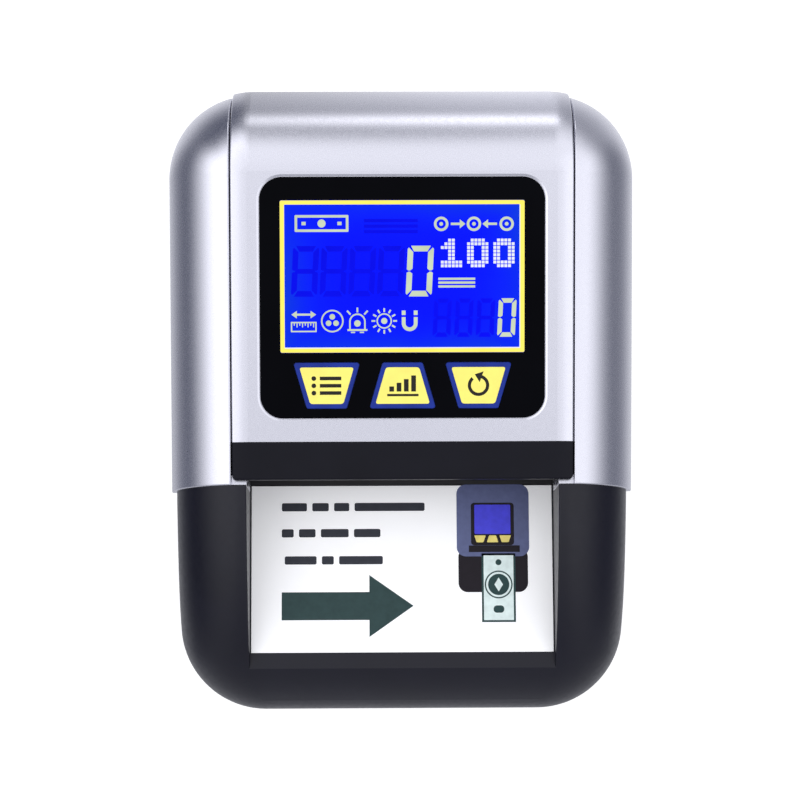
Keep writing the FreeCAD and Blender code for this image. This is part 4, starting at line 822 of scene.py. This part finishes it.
def rocker_sheet(side):
    """The upper (1) or lower (-1) half of the rocker's face, seen from behind the machine."""
    low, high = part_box("power_rocker")
    outer = low.y + 0.75 * (high.y - low.y)
    faces = [p for p in NODES["power_rocker"].data.polygons if p.normal.y > 0.9 and p.center.y > outer]
    half = [p for p in faces if side * p.normal.z < 0]
    area = sum(p.area for p in half)
    centre = sum((p.center * p.area for p in half), Vector()) / area
    normal = sum((p.normal * p.area for p in half), Vector()).normalized()
    return Sheet(centre, Vector((-1.0, 0.0, 0.0)), Vector((0.0, -normal.z, normal.y)))


def add_switch_marks():
    """The usual line and ring on the two halves of the power rocker."""
    white = ink("switch_ink", (0.8, 0.8, 0.8))
    ring = [(circle(0, 0, 1.35), circle(0, 0, 0.95))]
    body = "power_rocker_body"
    line = [bar(-0.22, 0.22, -1.3, 1.3)]
    applied("switch_line", rocker_sheet(1), white, body, "black_plastic", prisms=line)
    applied("switch_ring", rocker_sheet(-1), white, body, "black_plastic", rings=ring)


add_switch_marks()

# ---- studio ------------------------------------------------------------------------------


def add_studio():
    mesh = bmesh.new()
    size = 6.0
    corners = ((-size, -size), (size, -size), (size, size), (-size, size))
    mesh.faces.new([mesh.verts.new((x, y, 0.0)) for x, y in corners])
    data = bpy.data.meshes.new("floor")
    mesh.to_mesh(data)
    mesh.free()
    look = Look("floor", (0.5, 0.5, 0.5), 0.9)
    look.shader.inputs["Emission Color"].default_value = (1.0, 1.0, 1.0, 1.0)
    look.shader.inputs["Emission Strength"].default_value = 0.75
    data.materials.append(look.material)
    floor = bpy.data.objects.new("floor", data)
    bpy.context.scene.collection.objects.link(floor)
    floor.visible_glossy = False  # reflections from below come from the studio light's lower half
    add_studio_light()
    bpy.context.scene.view_settings.view_transform = "Standard"


# Brightness of the studio by the height of a direction, from -1, straight down, to 1, overhead.
LEFT_WALL = (
    (-1.0, 0.6), (-0.8, 0.6), (-0.63, 0.36), (-0.455, 0.2), (-0.25, 0.1), (-0.125, 0.1), (0.025, 0.18),
    (0.16, 0.47), (0.28, 0.7), (0.39, 1.05), (0.505, 1.42), (0.59, 1.7), (0.88, 1.75), (1.0, 1.15),
)
RIGHT_WALL = (
    (-1.0, 0.7), (-0.84, 0.74), (-0.65, 0.52), (-0.475, 0.31), (-0.31, 0.21), (-0.01, 0.15), (0.25, 0.44),
    (0.48, 1.05), (0.66, 1.5), (0.8, 1.2), (0.915, 1.6), (1.0, 1.15),
)
REAR_WALL = (
    (-1.0, 0.95), (-0.46, 0.85), (-0.13, 0.74), (0.08, 0.6), (0.22, 0.7), (0.34, 1.9), (0.42, 2.9),
    (0.5, 1.4), (0.58, 0.5), (0.76, 0.34), (0.86, 0.8), (0.94, 1.2), (1.0, 1.15),
)
FRONT_WALL = ((-1.0, 0.6), (0.0, 0.5), (0.5, 0.5), (0.96, 0.83), (1.0, 1.15))
REAR_LEFT_CORNER = (
    (-1.0, 1.0), (-0.6, 0.75), (-0.35, 0.4), (-0.1, 0.14), (0.15, 0.06), (0.42, 0.1), (0.6, 0.5),
    (0.72, 1.4), (0.85, 1.7), (1.0, 1.15),
)
REAR_RIGHT_CORNER = (
    (-1.0, 1.0), (-0.6, 0.8), (-0.3, 0.55), (0.0, 0.4), (0.2, 0.36), (0.4, 0.5), (0.6, 0.95),
    (0.8, 1.3), (1.0, 1.15),
)
FRONT_CORNERS = (
    (-1.0, 0.6), (0.0, 0.5), (0.4, 0.9), (0.7, 1.5), (0.85, 1.6), (0.93, 1.45), (0.985, 1.1),
    (1.0, 1.15),
)
# Shares of a direction's level part between which a wall takes over from the corners.
WALL_GAP, REAR_GAP = (0.55, 0.9), (0.95, 0.997)
REAR_DIMMING = (0.45, 1.35)  # of the rear wall, from its left end to its right end
REAR_HALF_WIDTH = 0.09
DAYLIGHT_TINT = (0.0, 0.01, 0.055)


def add_studio_light():
    """Soft walls on all sides with dark corners at the back, as one sky of directions."""
    world = bpy.data.worlds.new("studio")
    world.use_nodes = True
    bpy.context.scene.world = world
    nodes, links = world.node_tree.nodes, world.node_tree.links
    place = nodes.new("ShaderNodeTexCoord")
    split = nodes.new("ShaderNodeSeparateXYZ")
    links.new(place.outputs["Generated"], split.inputs["Vector"])

    def math_node(operation, a, b):
        node = nodes.new("ShaderNodeMath")
        node.operation = operation
        for socket, value in zip(node.inputs, (a, b)):
            if isinstance(value, float):
                socket.default_value = value
            else:
                links.new(value, socket)
        return node.outputs["Value"]

    half_up = math_node("ADD", math_node("MULTIPLY", split.outputs["Z"], 0.5), 0.5)

    def ramp(stops):
        node = nodes.new("ShaderNodeValToRGB")
        links.new(half_up, node.inputs["Fac"])
        elements = node.color_ramp.elements
        for height, _ in stops[1:-1]:
            elements.new((height + 1.0) / 2)
        for element, (_, level) in zip(elements, stops):
            element.color = (*(level + tint for tint in DAYLIGHT_TINT), 1.0)
        return node.outputs["Color"]

    def mix(factor, first, second):
        node = nodes.new("ShaderNodeMix")
        node.data_type = "RGBA"
        links.new(factor, node.inputs["Factor"])
        for color, index in zip((first, second), MIX_COLORS_IN):
            links.new(color, node.inputs[index])
        return node.outputs[MIX_COLOR_OUT]

    def dimmed(color):
        """The rear wall's colour, dim at its left end and full at its right end."""
        amount = nodes.new("ShaderNodeMapRange")
        sizes = (-REAR_HALF_WIDTH, REAR_HALF_WIDTH, *REAR_DIMMING)
        for socket, number in zip(("From Min", "From Max", "To Min", "To Max"), sizes):
            amount.inputs[socket].default_value = number
        links.new(split.outputs["X"], amount.inputs["Value"])
        scale = nodes.new("ShaderNodeVectorMath")
        scale.operation = "SCALE"
        links.new(color, scale.inputs["Vector"])
        links.new(amount.outputs["Result"], scale.inputs["Scale"])
        return scale.outputs["Vector"]

    def wall_share(part, gap):
        """Eases from 0 in the corners to 1 where the direction faces the wall."""
        node = nodes.new("ShaderNodeMapRange")
        node.interpolation_type = "SMOOTHSTEP"
        node.inputs["From Min"].default_value = gap[0]
        node.inputs["From Max"].default_value = gap[1]
        links.new(part, node.inputs["Value"])
        return node.outputs["Result"]

    sideways = math_node("POWER", split.outputs["X"], 2.0)
    level_part = math_node("ADD", sideways, math_node("POWER", split.outputs["Y"], 2.0))
    share = math_node("DIVIDE", sideways, math_node("ADD", level_part, 0.0001))
    to_the_right = math_node("GREATER_THAN", split.outputs["X"], 0.0)
    to_the_rear = math_node("GREATER_THAN", split.outputs["Y"], 0.0)
    along = math_node("SUBTRACT", 1.0, share)
    side = mix(to_the_right, ramp(LEFT_WALL), ramp(RIGHT_WALL))
    rear_corners = mix(to_the_right, ramp(REAR_LEFT_CORNER), ramp(REAR_RIGHT_CORNER))
    rear = mix(wall_share(along, REAR_GAP), rear_corners, dimmed(ramp(REAR_WALL)))
    front = mix(wall_share(along, WALL_GAP), ramp(FRONT_CORNERS), ramp(FRONT_WALL))
    lengthways = mix(to_the_rear, front, rear)
    links.new(mix(wall_share(share, WALL_GAP), lengthways, side), nodes["Background"].inputs["Color"])
    nodes["Background"].inputs["Strength"].default_value = 1.0


add_studio()
